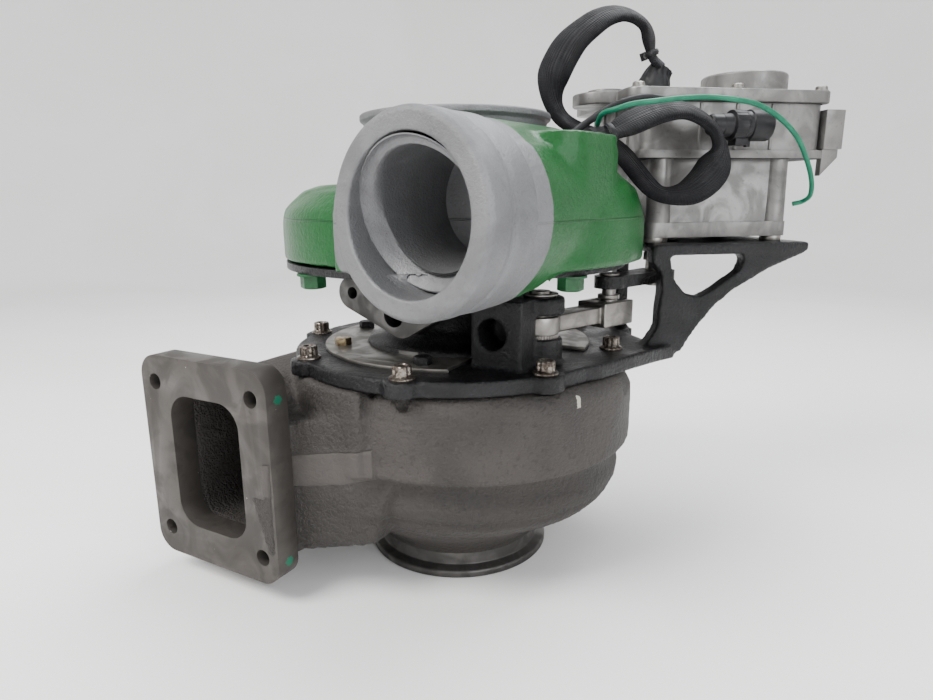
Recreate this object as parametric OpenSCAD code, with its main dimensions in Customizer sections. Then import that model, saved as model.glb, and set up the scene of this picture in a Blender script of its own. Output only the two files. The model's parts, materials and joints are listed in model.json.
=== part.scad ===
// Variable-geometry turbocharger with an electric actuator on a cast bracket.
// Frame: origin on the shaft axis at the turbine outlet's rim, +Z towards the compressor inlet.
// The turbine inlet flange faces -Y. All sizes are millimetres.

/* [Turbine housing] */
// Radius of the V-band outlet rim
vband_r = 72; // [68:0.5:73]
// Radius of the outlet bore at its mouth
outlet_r = 60; // [56:0.5:61]
// Smallest outer radius of the turbine scroll
turbine_r = 128; // [126:0.5:130]
// Growth of the turbine scroll each quarter turn
turbine_growth = 12; // [11:0.5:12.5]
// Inlet flange hole spacing across
inlet_dx = 95.25; // [94:0.05:97]
// Inlet flange hole spacing up
inlet_dz = 114.3; // [112:0.05:116]

/* [Compressor housing] */
// Smallest outer radius of the compressor scroll
compressor_r = 128.5; // [128:0.1:129]
// Growth of the compressor scroll each quarter turn
compressor_growth = 4.6; // [4.4:0.1:4.8]
// Bore radius of the compressor discharge
discharge_r = 44; // [42:0.5:46]
// Outer radius of the compressor discharge
discharge_outer_r = 56.5; // [55:0.5:57.5]
// Radius of the inlet hose bead
inlet_bead_r = 70.3; // [69:0.1:72]

/* [Variable geometry] */
// Number of nozzle vanes, one node each
vane_count = 9; // [9:1:9]
// Radius of the vane pivot circle
vane_pivot_r = 60; // [59:0.5:61]
// Length of each vane lever
vane_lever = 12; // [11.5:0.5:12.5]
// Control lever length from shaft to drive pin
lever_len = 75.4; // [75:0.1:76]
// Actuator arm length from shaft to drive pin
arm_len = 60; // [59:0.5:61]

/* [Actuator] */
// Width of the actuator's lower housing
act_w = 115; // [112:1:116]
// Depth of the actuator's lower housing
act_d = 112; // [108:1:114]
// Plan angle of the actuator's front face
act_angle = 39.6; // [39:0.1:40]

/* [Hidden] */
vanes = [for (i = [1:vane_count]) str("vane_", i)];
$fn = 96;

gap = 0.05;                 // radial clearance of running and located fits
cast = "#4a443f";           // turbine side cast iron
black = "#26272b";          // oily black castings
steel = "#a5a39d";          // machined steel
bare = "#b9bbbd";           // bare cast aluminium
green = "#14702c";          // enamel
plastic = "#191a1c";        // sleeve and connector

// Heights along the shaft axis
plate_z = [156, 167];       // black support flange
disc_top = 169.5;
back_z = [229, 234];        // compressor backplate
volute_z = back_z[1];
inlet_top = 336.2;
duct_z = 92.7;              // centre height of the turbine inlet
discharge_z = 267.5;        // centre height of the compressor discharge
oil_z = 198;                // oil feed pad
drain_z = 193;              // oil drain pad

// Turbine inlet
duct_x = -115.2;
face_y = -155.1;
duct_half = [44, 59.8];     // outside, centred a little below the passage
duct_mid_z = 91;
flange_half = [62, 77];
flange_t = 19;

// Compressor discharge, a cylinder along a level axis
discharge_face = [55.9, -152.3];
discharge_turn = 8.9;       // degrees off -Y, towards -X

// Lever shaft and actuator shaft positions
lever_xy = [84.5, -34];
lever_az = atan2(lever_xy[1], lever_xy[0]);
link_az = 70;               // plan direction from lever shaft to actuator shaft
pin_xy = lever_xy + lever_len * [cos(link_az), sin(link_az)];
arm_xy = pin_xy + arm_len * [cos(link_az), sin(link_az)];
lever_z = [187, 199];
arm_z = [211, 220];
ear_z = [200.5, 213];
lever_shaft_r = 7;
pin_r = 5;

// Actuator levels in its own turned frame
platform_z = [236, 243];
act_z = [247, 305, 311, 345, 354];
act_x = 141;                // left face of the lower housing
act_y = -38;                // front face
can_xy = [232, 0];
can_r = 33;
can_top = 369;

// Nozzle levels
vane_z = [112.2, 125.8];
ring_z = [126, 133];
vane_lever_z = [135, 138.5];
unison_z = [139.5, 144];
crank_z = [145.5, 150.5];
vane_shaft_r = 3;
vane_az0 = lever_az + 180 / vane_count;
crank_len = norm(lever_xy) - 77;

// Cord routes
sleeve_r = 8;
lead_r = 3.5;
wire_r = 1.8;
boot_base = [119, 99, 354];
sleeve_route = [[125, 103, 374], [118, 98, 382], [114, 94, 400], [107, 88, 408], [97, 80, 411],
    [87, 72, 408], [78, 65, 401], [68, 57, 390], [61, 51, 376], [57, 47, 362], [58, 47, 348],
    [64, 50, 336], [76, 53, 328], [92, 54, 322], [108, 51, 312], [122, 47, 298], [132, 45, 287],
    [141, 44, 280], [151, 46, 278], [161, 51, 280], [170, 57, 288], [176, 60, 299], [178, 60, 311],
    [174, 56, 322], [166, 49, 330], [154, 39, 335], [141, 29, 333], [128, 20, 327], [115, 12, 320],
    [105, 6, 316]];
lead_route = [[105, 6, 316], [96, 1, 315], [88, 4, 316], [88, 12, 321], [97, 22, 330],
    [112, 31, 340], [130, 42, 345], [147, 53, 341], [159, 63, 333], [168, 71, 327]];
wire_route = [[103, 18, 326], [109, 10, 332], [119, 6, 334], [130, 9, 337], [144, 18, 339],
    [158, 29, 341], [172, 42, 342], [186, 54, 341], [200, 67, 338], [213, 81, 330],
    [224, 97, 318], [231, 112, 303], [235, 124, 289], [235, 134, 278], [230, 142, 273],
    [223, 140, 271]];
connector_dir = [0.7705, 0.6374, 0];

// ---------- shared shapes ----------

module sector(a0, a1, r = 400) {
    steps = 8;
    polygon(concat([[0, 0]], [for (i = [0:steps]) let (a = a0 + (a1 - a0) * i / steps)
        r * [cos(a), sin(a)]]));
}

module ring(r0, r1, z0, z1) {
    difference() {
        translate([0, 0, z0]) cylinder(r = r1, h = z1 - z0);
        translate([0, 0, z0 - 1]) cylinder(r = r0, h = z1 - z0 + 2);
    }
}

module rod(r, z0, z1) {
    translate([0, 0, z0]) cylinder(r = r, h = z1 - z0);
}

module hex_bolt(across, head, shank_r, shank) {
    cylinder(r = across / sqrt(3), h = head, $fn = 6);
    translate([0, 0, -shank]) cylinder(r = shank_r, h = shank + 0.01);
}

module at_ring(r, angles) {
    for (a = angles) rotate([0, 0, a]) translate([r, 0, 0]) children();
}

module act() {
    rotate([0, 0, act_angle]) children();
}

module rounded_slab(w, d, r, z0, z1) {
    translate([0, 0, z0]) linear_extrude(z1 - z0) rounded_rect(w, d, r);
}

module rounded_rect(w, d, r) {
    union() {
        square([w - 2 * r, d], center = true);
        square([w, d - 2 * r], center = true);
        for (x = [-1, 1], y = [-1, 1]) translate([x * (w / 2 - r), y * (d / 2 - r)]) circle(r);
    }
}

// Sweeps a round tube along a list of points
function unit(v) = v / norm(v);
function frame_x(t) = unit(cross(abs(t[2]) > 0.9 ? [1, 0, 0] : [0, 0, 1], t));
function tangent(p, i) = unit(p[min(i + 1, len(p) - 1)] - p[max(i - 1, 0)]);
function carried(p, i) = i == 0 ? frame_x(tangent(p, 0)) :
    let (x = carried(p, i - 1), t = tangent(p, i)) unit(x - (x * t) * t);
module tube(p, r, sides = 8) {
    n = len(p);
    points = [for (i = [0:n - 1]) let (t = tangent(p, i), x = carried(p, i), y = cross(t, x))
        for (k = [0:sides - 1]) let (a = 360 * k / sides) p[i] + r * (cos(a) * x + sin(a) * y)];
    faces = concat([[for (k = [0:sides - 1]) k]],
        [for (i = [0:n - 2], k = [0:sides - 1]) let (k2 = (k + 1) % sides)
            each [[i * sides + k, (i + 1) * sides + k, (i + 1) * sides + k2],
                  [i * sides + k, (i + 1) * sides + k2, i * sides + k2]]],
        [[for (k = [sides - 1:-1:0]) (n - 1) * sides + k]]);
    polyhedron(points, faces);
}

// ---------- scrolls ----------

// Four quarter turns about shifted centres; each quarter's radius grows by one step.
// quarters: [start angle, centre x sign, centre y sign, radius steps]
turbine_quarters = [[-90, 1, 1, 0], [0, -1, 1, 1], [90, -1, -1, 2]];
compressor_quarters = [[180, -1, 1, 0], [90, 1, 1, 1], [0, 1, -1, 2], [-90, -1, -1, 3]];

module quarter(q, growth) {
    translate([q[1] * growth / 2, q[2] * growth / 2, 0]) rotate([0, 0, q[0]])
        rotate_extrude(angle = 90) children();
}

// The plate seat keeps its radius; the shoulder outside it falls away as the scroll grows
module turbine_outer_2d(r) {
    grown = r - turbine_r;
    polygon([[20, 156], [119, 156], [124, 154], [127 + 0.6 * grown, 150 - 0.35 * grown],
        [r, 146 - 0.8 * grown], [r, 98], [r - 3, 94],
        [r - 4, 74], [r - 8, 60], [r - 18, 52], [r - 28, 48], [20, 48]]);
}

module turbine_void_2d(r) {
    grown = r - turbine_r;
    polygon([[74, 112], [74, 126], [111, 126], [113, 140], [117 + 0.3 * grown, 141 - 0.25 * grown],
        [r - 9, 136 - 0.9 * grown], [r - 9, 100],
        [r - 13, 92], [r - 14, 74], [r - 20, 62], [92, 60], [84, 66], [80, 100], [74, 106]]);
}

// Flat cheek that carries the duct's near wall flush into the front of the scroll
module duct_cheek() intersection() {
    linear_extrude(200) polygon([[-75, -137], [-66, -136], [6, -122.4], [16, -121.5], [21, -119],
        [21, -60], [-75, -60]]);
    translate([0, -50, 0]) rotate([90, 0, 0]) linear_extrude(100) polygon([[-75, 33], [-58, 33],
        [4, 48], [18, 97], [20, 141], [4, 140], [-66, 129], [-75, 129]]);
}

module turbine_housing() color(cast) difference() {
    union() {
        for (q = turbine_quarters) quarter(q, turbine_growth)
            turbine_outer_2d(turbine_r + q[3] * turbine_growth);
        rod(100, 50, 156);
        intersection() {
            rod(turbine_r, 98, 156);
            rotate([0, 0, 180]) translate([0, 0, 90]) linear_extrude(70) sector(0, 90);
        }
        // tongue wall that closes the small end of the scroll
        translate([-9, -120, 56]) cube([16, 30, 94]);
        // inlet duct, running level into the scroll
        translate([duct_x, face_y + 1, duct_mid_z]) rotate([-90, 0, 0])
            linear_extrude(-face_y) rounded_rect(2 * duct_half[0], 2 * duct_half[1], 26);
        duct_cheek();
        // inlet flange
        translate([duct_x, face_y, duct_z]) rotate([-90, 0, 0])
            linear_extrude(flange_t) rounded_rect(2 * flange_half[0], 2 * flange_half[1], 16);
        // throat and outlet neck
        rotate_extrude() polygon([[20, 50], [101, 50], [92, 42], [80, 33], [70, 24], [64.7, 14],
            [64.7, 8], [vband_r - 1, 5], [vband_r, 4], [vband_r, 0], [20, 0]]);
    }
    for (q = turbine_quarters) quarter(q, turbine_growth)
        turbine_void_2d(turbine_r + q[3] * turbine_growth);
    rotate_extrude() polygon([[74, 112], [74, 126], [111, 126], [111, 104], [92, 92], [80, 100],
        [74, 106]]);
    // duct passage
    translate([duct_x, face_y - 1, duct_z]) rotate([-90, 0, 0])
        linear_extrude(2 - face_y) rounded_rect(68, 100, 18);
    // outlet diffuser and wheel shroud
    rotate_extrude() polygon([[0, -1], [outlet_r, -1], [outlet_r, 12], [46, 50], [41.5, 70],
        [41.5, 90], [47, 106], [76, 106], [76, 112], [0, 112]]);
    rod(80, 106, 127);
    rod(103, 126, 160);
    // inlet flange threads
    for (x = [-1, 1], z = [-1, 1]) translate([duct_x + x * inlet_dx / 2, face_y - 1,
        duct_z + z * inlet_dz / 2]) rotate([-90, 0, 0]) cylinder(r = 6, h = flange_t + 2);
    at_ring(120, screw_angles) rod(4.1, 145, 160);
}

screw_angles = [for (i = [0:7]) -77 + 45 * i];

module housing_screws() color("#6b5a48") at_ring(120, screw_angles) {
    rod(4, 145.5, 167.2);
    rod(8.5, 167.1, 169);
    rod(6.5, 168.9, 176);
}

// ---------- support flange: plate, tower and bracket in one casting ----------

module web_2d() difference() {
    polygon([[116, 158], [157, 158], [166, 162], [175, 177], [190, 195], [205, 207], [234, 223],
        [262, 234], [265, 237], [265, 242], [138, 242], [138, 230], [146, 222],
        [147, 208], [145, 194], [145, 181], [138, 170], [130, 165], [116, 165]]);
    polygon([[152, 234.5], [153, 230], [157, 216], [166, 206], [178, 203], [187, 207], [210, 222],
        [213, 229], [211, 234.5]]);
}

// Round rim with its screw bosses, and the foot that carries it out to the bracket
module plate_2d() difference() {
    union() {
        circle(125);
        at_ring(120, screw_angles) circle(13);
        act() polygon([[70, -104], [82, -99], [112, -79], [140, -62], [160, -52], [160, -40],
            [146, -26], [143, 8], [156, 16], [156, 40], [140, 46], [90, 88], [88, 0]]);
    }
    circle(76.3);
}

module support_flange() color(black) difference() {
    union() {
        translate([0, 0, plate_z[0]]) linear_extrude(11) plate_2d();
        act() translate([0, -40, 0]) rotate([90, 0, 0]) linear_extrude(12) web_2d();
        // rear rib, from the plate to the platform
        act() translate([142.5, 22, 158]) cube([11, 14, 80]);
        act() translate([141, -53, platform_z[0]]) cube([125, 113, 7]);
        // tower for the lever shaft
        translate([51, -71, 160]) cube([37, 22, 53]);
        translate([52, -52, 161]) cube([18, 40, 51]);
        translate([lever_xy[0], lever_xy[1], 0]) {
            rod(17, ear_z[0], ear_z[1] - 0.5);
            rod(16, 160, 184);
        }
        translate([60, -65, ear_z[0] + 0.2]) cube([27, 36, 11.2]);
    }
    at_ring(120, screw_angles) rod(4.1, 150, 171);
    translate([lever_xy[0], lever_xy[1], 0]) rod(10, 150, 186);
    translate([lever_xy[0], lever_xy[1], 0]) rod(11, 199, 215);
    // room for the bearing housing's column
    rod(71, 140, 176.5);
    rod(76.3, 150, 167.2);
    rod(61, 170, 225);
    // window in the tower
    translate([66, -80, 190]) rotate([-90, 0, 0]) cylinder(r = 10.5, h = 34);
    // way for the actuator's shaft
    translate([arm_xy[0], arm_xy[1], 0]) rod(16, 230, 250);
    act() for (p = spacer_xy) translate([p[0], p[1], 0]) rod(4.2, 230, 250);
    disc_holes(3.5, 150, 171);
}

spacer_xy = [[148, -30], [247, -30], [247, 48], [150, 50]];

// ---------- cover disc ----------

disc_bolt_angles = [-135, -75, 60, 120, 180];

module disc_holes(r, z0, z1) at_ring(90, disc_bolt_angles) rod(r, z0, z1);

module cover_disc() color(steel) difference() {
    ring(70.2, 103, plate_z[1], disc_top);
    disc_holes(3.6, 160, 172);
    translate([44, -92, 160]) cube([70, 100, 20]);
}

module disc_bolts() color("#7a6a4c") at_ring(90, disc_bolt_angles)
    translate([0, 0, disc_top]) hex_bolt(11, 5.5, 3.4, 12);

// ---------- bearing housing ----------

// Oil inlet pad: two ears high at the sides and a rounded foot
module oil_pad_2d() hull() {
    for (x = [-35, 35]) translate([x, 14]) circle(12);
    translate([6, -2]) circle(13);
}

module bearing_housing() color(black) difference() {
    union() {
        rotate_extrude() polygon([[15, 146], [60, 146], [62, 152], [76, 156], [76, 167], [70, 167],
            [70, 172], [60, 176], [52, 184], [50, 196], [50, 216], [58, 223], [66, 225], [66, 229],
            [15, 229]]);
        // oil inlet pad with its two ears
        translate([-6, -56, oil_z]) rotate([90, 0, 0]) linear_extrude(22) oil_pad_2d();
        // oil drain pad at the back
        translate([0, 44, drain_z]) rotate([-90, 0, 0]) linear_extrude(34) union() {
            circle(21);
            square([62, 26], center = true);
        }
    }
    rod(16, 152, 210);
    rod(22, 209.9, 240);
    rod(15, 140, 160);
    // oil gallery, drain and their screw holes
    translate([-6, -64, oil_z]) rotate([90, 0, 0]) cylinder(r = 8, h = 20);
    translate([-6, -30, oil_z]) rotate([90, 0, 0]) cylinder(r = 6, h = 35);
    translate([0, 58, drain_z]) rotate([-90, 0, 0]) cylinder(r = 14, h = 30);
    translate([0, 30, drain_z]) rotate([-90, 0, 0]) cylinder(r = 12, h = 30);
    translate([-6, -50, oil_z]) rotate([90, 0, 0]) for (x = [-35, 35]) translate([x, 14, 0])
        cylinder(r = 4.25, h = 40);
    for (x = [-24, 24]) translate([x, 50, drain_z]) rotate([-90, 0, 0]) cylinder(r = 4.25, h = 40);
}

module nozzle_ring_lower() color(steel) ring(47.5, 75.5, 106.2, 111.8);

module nozzle_ring_upper() color(steel) difference() {
    ring(48, 102.7, ring_z[0], ring_z[1]);
    at_ring(vane_pivot_r, vane_angles) rod(vane_shaft_r + gap, 120, 140);
    at_ring(94, stud_angles) rod(3, 120, 140);
}

vane_angles = [for (i = [0:vane_count - 1]) vane_az0 + 360 / vane_count * i];
stud_angles = [60, 160, 260];

module cartridge_studs() color(steel) at_ring(94, stud_angles) {
    rod(2.95, 126.5, 133.1);
    rod(5, 133, 155.8);
}

module heat_shield() color("#6f6a62") rotate_extrude()
    polygon([[17, 135], [44, 135], [52, 138], [55, 145], [58, 145], [58, 143.8], [56, 143.8],
        [53, 137], [44.5, 133.8], [17, 133.8]]);

module lower_bush() color("#9a7b3c") translate([lever_xy[0], lever_xy[1], 0])
    ring(lever_shaft_r + gap, 9.95, 153, 185);

module upper_bush() color(steel) translate([lever_xy[0], lever_xy[1], 0]) {
    ring(lever_shaft_r + gap, 10.95, 200.5, 213);
    ring(8.2, 12.5, 213, 214.5);
}

module journal_bearings() color("#9a7b3c") for (z = [162, 192])
    ring(10 + gap, 15.95, z, z + 12);

module thrust_bearing() color("#9a7b3c") ring(11.2, 21.9, 210, 213);

// ---------- compressor side ----------

module compressor_backplate() color(black) difference() {
    rod(127.5, back_z[0], back_z[1]);
    rod(13.2, 220, 240);
    at_ring(120.5, bolt_angles) rod(4.1, 220, 240);
}

module backplate_seal() color("#101010") rotate_extrude() translate([106, back_z[1] + 1.3])
    circle(1.2, $fn = 24);

// The place beside the drive pin has no bolt
bolt_angles = [for (i = [0, 2, 3, 4, 5, 6, 7]) -23 + 45 * i];

module compressor_bolts() color(green) at_ring(120.5, bolt_angles) {
    rod(4, back_z[0] - 0.1, back_z[0] + 12);
    rod(10.5, back_z[0] - 1.5, back_z[0]);
    translate([0, 0, back_z[0] - 10]) cylinder(r = 8.7, h = 8.6, $fn = 6);
}

module compressor_outer_2d(r, top) {
    polygon([[40, volute_z], [r, volute_z], [r, 261], [r - 2, 270], [r - 7, top - 12],
        [r - 16, top - 4], [r - 28, top], [40, top]]);
}

module compressor_void_2d(r, top) {
    polygon([[94, 241.5], [r - 9, 241.5], [r - 7, 246], [r - 7, 260], [r - 10, 272],
        [r - 20, top - 10], [r - 30, top - 8], [94, top - 8]]);
}

module along_discharge(from, length) {
    translate([discharge_face[0], discharge_face[1], discharge_z]) rotate([0, 0, -discharge_turn])
        translate([0, from, 0]) rotate([-90, 0, 0]) linear_extrude(length) children();
}

module compressor_housing() color(green) difference() {
    union() {
        for (q = compressor_quarters) quarter(q, compressor_growth)
            compressor_outer_2d(compressor_r + q[3] * compressor_growth, 287 + 4 * q[3]);
        difference() {
            along_discharge(0, 135) circle(discharge_outer_r);
            rod(132, 190, volute_z);
        }
        along_discharge(0, 12) circle(discharge_outer_r + 0.8);
        // flat-topped boss over the discharge throat
        translate([84, -40, 250]) rotate([0, 0, -9]) rounded_slab(92, 76, 24, 0, 66);
        // inlet
        rotate_extrude() polygon([[40, 280], [84, 280], [76, 294], [68, 306], [66, 318], [67.5, 330],
            [inlet_bead_r, 331.5], [inlet_bead_r, 335], [inlet_bead_r - 1.2, inlet_top],
            [40, inlet_top]]);
    }
    for (q = compressor_quarters) quarter(q, compressor_growth)
        compressor_void_2d(compressor_r + q[3] * compressor_growth, 287 + 4 * q[3]);
    // discharge passage
    difference() {
        union() {
            along_discharge(-1, 13) circle(discharge_r);
            along_discharge(11, 64) circle(discharge_r - 1);
        }
        rod(133, 200, 239);
    }
    difference() {
        along_discharge(40, 95) translate([18, 0]) circle(27);
        rod(92, 200, 320);
    }
    // wheel contour, diffuser and inlet bell
    rotate_extrude() polygon([[0, 233], [101, 233], [101, 249], [69, 249], [62, 255], [54, 267],
        [49.5, 283], [49.5, 300], [56, 316], [62, 318], [62, 340], [0, 340]]);
    ring(104.6, 107.4, 233, 236.6);
    at_ring(120.5, bolt_angles) rod(4.1, 225, 242);
    // tapped port for the red plug
    translate([port_xy[0], port_xy[1], 0]) {
        rod(5.05, 290, 330);
        rod(6.6, 315.9, 330);
    }
}

port_xy = [66, 30];
module port_cap() color("#b5231e") translate([port_xy[0], port_xy[1], 291]) {
    rod(5, 0, 28);
    rod(6.5, 25, 30);
}

// ---------- actuator ----------

module act_box(w0, w1, y0, y1, z0, z1, r = 6) {
    act() translate([(w0 + w1) / 2, (y0 + y1) / 2, 0])
        rounded_slab(w1 - w0, y1 - y0, r, z0, z1);
}

module actuator_spacers() color(steel) act() for (p = spacer_xy) translate([p[0], p[1], 0]) {
    rod(8, 243, 247);
    rod(4, 233, 252);
    translate([0, 0, 230]) cylinder(r = 7.5, h = 6, $fn = 6);
}

module actuator_lower_housing() color(bare) difference() {
    union() {
        act_box(act_x, act_x + act_w, act_y, act_y + act_d, 247, 258);
        act_box(act_x + 4, act_x + act_w - 4, act_y + 4, act_y + act_d - 4, 257, 305, 10);
        for (x = [act_x + 10, act_x + act_w - 10], y = [act_y + 9, act_y + act_d - 9])
            act() translate([x, y, 0]) rod(9, 257, 305);
    }
    act() translate([act_x + act_w / 2 + 8, act_y + act_d / 2, 0])
        rounded_slab(act_w - 40, act_d - 20, 8, 253, 310);
    translate([arm_xy[0], arm_xy[1], 0]) rod(11 + gap, 240, 310);
    act() for (p = spacer_xy) translate([p[0], p[1], 0]) rod(4.1, 240, 252.5);
}

module actuator_mid_housing() color(bare) difference() {
    union() {
        act_box(130, 282, -40, 76, act_z[1], act_z[2], 8);
        act_box(133, 280, -38, 74, act_z[2] - 1, act_z[3], 12);
    }
    act() difference() {
        translate([206, 17, 0]) rounded_slab(136, 104, 10, 311, 350);
        translate([idler_local[0], idler_local[1], 0]) rod(2.95, 310, 340);
    }
    act() translate([206, 33, 0]) rounded_slab(70, 50, 10, 300, 320);
    act() translate([motor_local[0], motor_local[1], 0]) rod(5, 300, 315);
    translate([arm_xy[0], arm_xy[1], 0]) rod(8 + gap, 300, 315);
}

module actuator_cover() color(bare) {
    act_box(119, 283, -42, 78, act_z[3], act_z[4], 10);
    act() translate([118, 6, 0]) rod(24, act_z[3], act_z[4]);
    act() translate([120, 6, 0]) rod(15, act_z[4] - 1, 357);
}

module motor_can() color(bare) act() translate([can_xy[0], can_xy[1], 0]) difference() {
    rod(can_r, act_z[4], can_top);
    rod(can_r - 4, act_z[4] - 1, can_top - 4);
}

module cover_screws() color(steel) act() for (p = [[128, -34], [205, -36], [276, -34], [276, 70],
    [205, 72], [128, 70]]) translate([p[0], p[1], 0]) {
    rod(5, 354, 355);
    translate([0, 0, 354.9]) cylinder(r = 4, h = 3, $fn = 6);
}

module side_block() color(bare) difference() {
    union() {
        act() translate([280.2, -38, 312]) cube([16, 60, 29]);
        act() translate([280.2, -34, 0]) rotate([90, 0, 0]) mirror([0, 0, 1]) linear_extrude(6)
            polygon([[2, 312.5], [16, 312.5], [16, 306], [2, 292]]);
    }
    act() translate([270, -20, 326]) rotate([0, 90, 0]) cylinder(r = 6, h = 40);
}

// ---------- harness ----------

module harness_boot() color(plastic) hull() {
    translate(boot_base) cylinder(r = 13, h = 4, $fn = 32);
    translate([125, 103, 373]) rotate([0, -20, 40]) cylinder(r = 9, h = 1, $fn = 32);
}

module harness_sleeve() color(plastic) tube(sleeve_route, sleeve_r);

module connector_lead() color(plastic) tube(lead_route, lead_r);

module harness_connector() color(plastic) translate([168, 71, 327])
    rotate([0, 90, atan2(connector_dir[1], connector_dir[0])]) {
    rod(8, 0, 16);
    rod(11, 16, 46);
    translate([-14, -4, 18]) cube([5, 8, 12]);
}

module ground_wire() color("#0d7a4d") tube(wire_route, wire_r);

module cable_ties() color("#0c0c0d") {
    translate([116.5, 96.5, 389]) rotate([0, 0, 40]) ring(8.1, 10, -3, 3);
    translate([115, 12, 320]) rotate([90, 0, 127]) ring(8.1, 10, -3, 3);
}

// ---------- rotor ----------

module blades(n, lean, r, z0, z1) for (i = [0:n - 1]) rotate([0, 0, 360 / n * i])
    translate([r / 2, 0, (z0 + z1) / 2]) rotate([lean, 0, 0])
        cube([r, 1.6, (z1 - z0) * 1.5], center = true);

module turbine_wheel() color("#7a736a") union() {
    rotate_extrude() polygon([[0, 76], [9, 76], [12, 84], [15, 98], [24, 116], [40, 126], [44, 128],
        [44, 129.5], [14, 131], [14, 150], [10, 152], [10, 210], [6, 210.1], [6, 311], [0, 311]]);
    intersection() {
        rotate_extrude() polygon([[5, 82], [40.5, 82], [40.5, 90], [44.8, 112.5], [44.8, 127], [5, 127]]);
        blades(11, 32, 60, 80, 128);
    }
}

module compressor_wheel() color("#c9cbce") difference() {
    union() {
        rotate_extrude() polygon([[0, 236], [66, 236], [67, 238], [60, 241], [42, 250], [26, 267],
            [18, 285], [16, 303], [0, 303]]);
        intersection() {
            rotate_extrude() polygon([[8, 237], [67, 237], [67, 243], [60.5, 252], [52.5, 266],
                [48, 282], [48, 299], [8, 299]]);
            blades(7, -38, 80, 235, 301);
        }
    }
    rod(6 + gap, 220, 320);
}

module rotor_locknut() color(steel) difference() {
    translate([0, 0, 303.1]) cylinder(r = 11, h = 7, $fn = 12);
    rod(6 + gap, 290, 320);
}

module thrust_collar() color(steel) ring(6 + gap, 13, 213.2, 235.8);

// ---------- variable geometry ----------

module lever_shaft() color(steel) translate([lever_xy[0], lever_xy[1], 0]) {
    rod(lever_shaft_r, crank_z[1] - 1, 216);
    rod(9.5, crank_z[0], crank_z[1]);
    rotate([0, 0, lever_az + 180]) {
        translate([0, -3, crank_z[0] + 0.1]) cube([crank_len, 6, 4.8]);
        translate([crank_len, 0, 0]) {
            rod(4, crank_z[0], crank_z[1]);
            rod(2.5, unison_z[0], crank_z[1]);
        }
    }
}

// Lever with an open fork that the drive pin's roller rides in
module control_lever() color(steel) translate([lever_xy[0], lever_xy[1], 0]) rotate([0, 0, link_az])
difference() {
    union() {
        rod(14, lever_z[0], lever_z[1]);
        translate([0, -9, lever_z[0]]) cube([lever_len - 14, 18, 12]);
        translate([lever_len - 20, -13, lever_z[0] - 3]) cube([34, 26, 18]);
    }
    rod(lever_shaft_r + 0.02, 180, 205);
    translate([lever_len - 9, -fork_half, 180]) cube([40, 2 * fork_half, 30]);
}

roller_r = 6.5;
fork_half = roller_r + 0.45;

module unison_ring() color(steel) difference() {
    ring(64, 85, unison_z[0], unison_z[1]);
    at_ring(vane_pivot_r + vane_lever, vane_angles) translate([-3, -2.25, 130]) cube([6, 4.5, 20]);
    rotate([0, 0, lever_az]) translate([73.5, -2.75, 130]) cube([7, 5.5, 20]);
}

module vane(i) color(steel) rotate([0, 0, vane_az0 + 360 / vane_count * (i - 1)])
translate([vane_pivot_r, 0, 0]) {
    rod(vane_shaft_r, vane_z[1] - 0.1, vane_lever_z[1]);
    translate([0, 0, vane_lever_z[0]]) linear_extrude(3.5) union() {
        circle(5);
        translate([0, -2.5]) square([vane_lever, 5]);
        translate([vane_lever, 0]) circle(3);
    }
    translate([vane_lever, 0, 0]) rod(2, vane_lever_z[1] - 0.1, unison_z[1]);
    rotate([0, 0, 62]) translate([0, 0, vane_z[0]]) linear_extrude(vane_z[1] - vane_z[0])
        polygon([[13, 0], [8, 2.2], [0, 3.6], [-7, 3.2], [-11, 1.6], [-12, 0], [-11, -1.6],
            [-7, -3.2], [0, -3.6], [8, -2.2]]);
}

// ---------- actuator drive ----------

// Involute outline: teeth of module m, thinned by a little backlash
function inv_pt(rb, a) = rb * [cos(a) + a * PI / 180 * sin(a), sin(a) - a * PI / 180 * cos(a)];
function turned(p, a) = [p[0] * cos(a) - p[1] * sin(a), p[0] * sin(a) + p[1] * cos(a)];
module gear_2d(teeth, m, backlash = 0.25) {
    pressure = 25;
    rp = teeth * m / 2;
    rb = rp * cos(pressure);
    ra = rp + 0.8 * m;
    rr = rp - 1.05 * m;
    half = 90 / teeth - backlash / rp * 90 / PI + (tan(pressure) * 180 / PI - pressure);
    a0 = sqrt(max(0, pow(max(rb, rr + 0.1) / rb, 2) - 1)) * 180 / PI;
    a1 = sqrt(pow(ra / rb, 2) - 1) * 180 / PI;
    flank = [for (k = [0:3]) inv_pt(rb, a0 + (a1 - a0) * k / 3)];
    foot = rr * [1, 0];
    root_a = atan2(flank[0][1], flank[0][0]);
    polygon([for (t = [0:teeth - 1]) let (c = 360 / teeth * t) each concat(
        [turned(foot, c - half + root_a)],
        [for (p = flank) turned(p, c - half)],
        [for (k = [3:-1:0]) turned([flank[k][0], -flank[k][1]], c + half)],
        [turned(foot, c + half - root_a)])]);
}

sector_teeth = 48;
sector_m = 1.25;
small_teeth = 14;
wheel_teeth = 42;
wheel_m = 1;
gear_z = [318, 326, 334];
idler_dist = (sector_teeth + small_teeth) * sector_m / 2;
motor_dist = (wheel_teeth + small_teeth) * wheel_m / 2;
arm_local = turned(arm_xy, -act_angle);
idler_local = arm_local + [idler_dist, 0];
motor_local = idler_local + [motor_dist, 0];

module output_shaft() color(steel) translate([arm_xy[0], arm_xy[1], 0]) {
    rod(11, 246, 300);
    rod(8, 208, 318.1);
    rod(14, gear_z[0], gear_z[0] + 7);
    rotate([0, 0, act_angle]) translate([0, 0, gear_z[0]]) linear_extrude(7) intersection() {
        gear_2d(sector_teeth, sector_m);
        sector(-28.2, 28.2, 60);
    }
}

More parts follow.
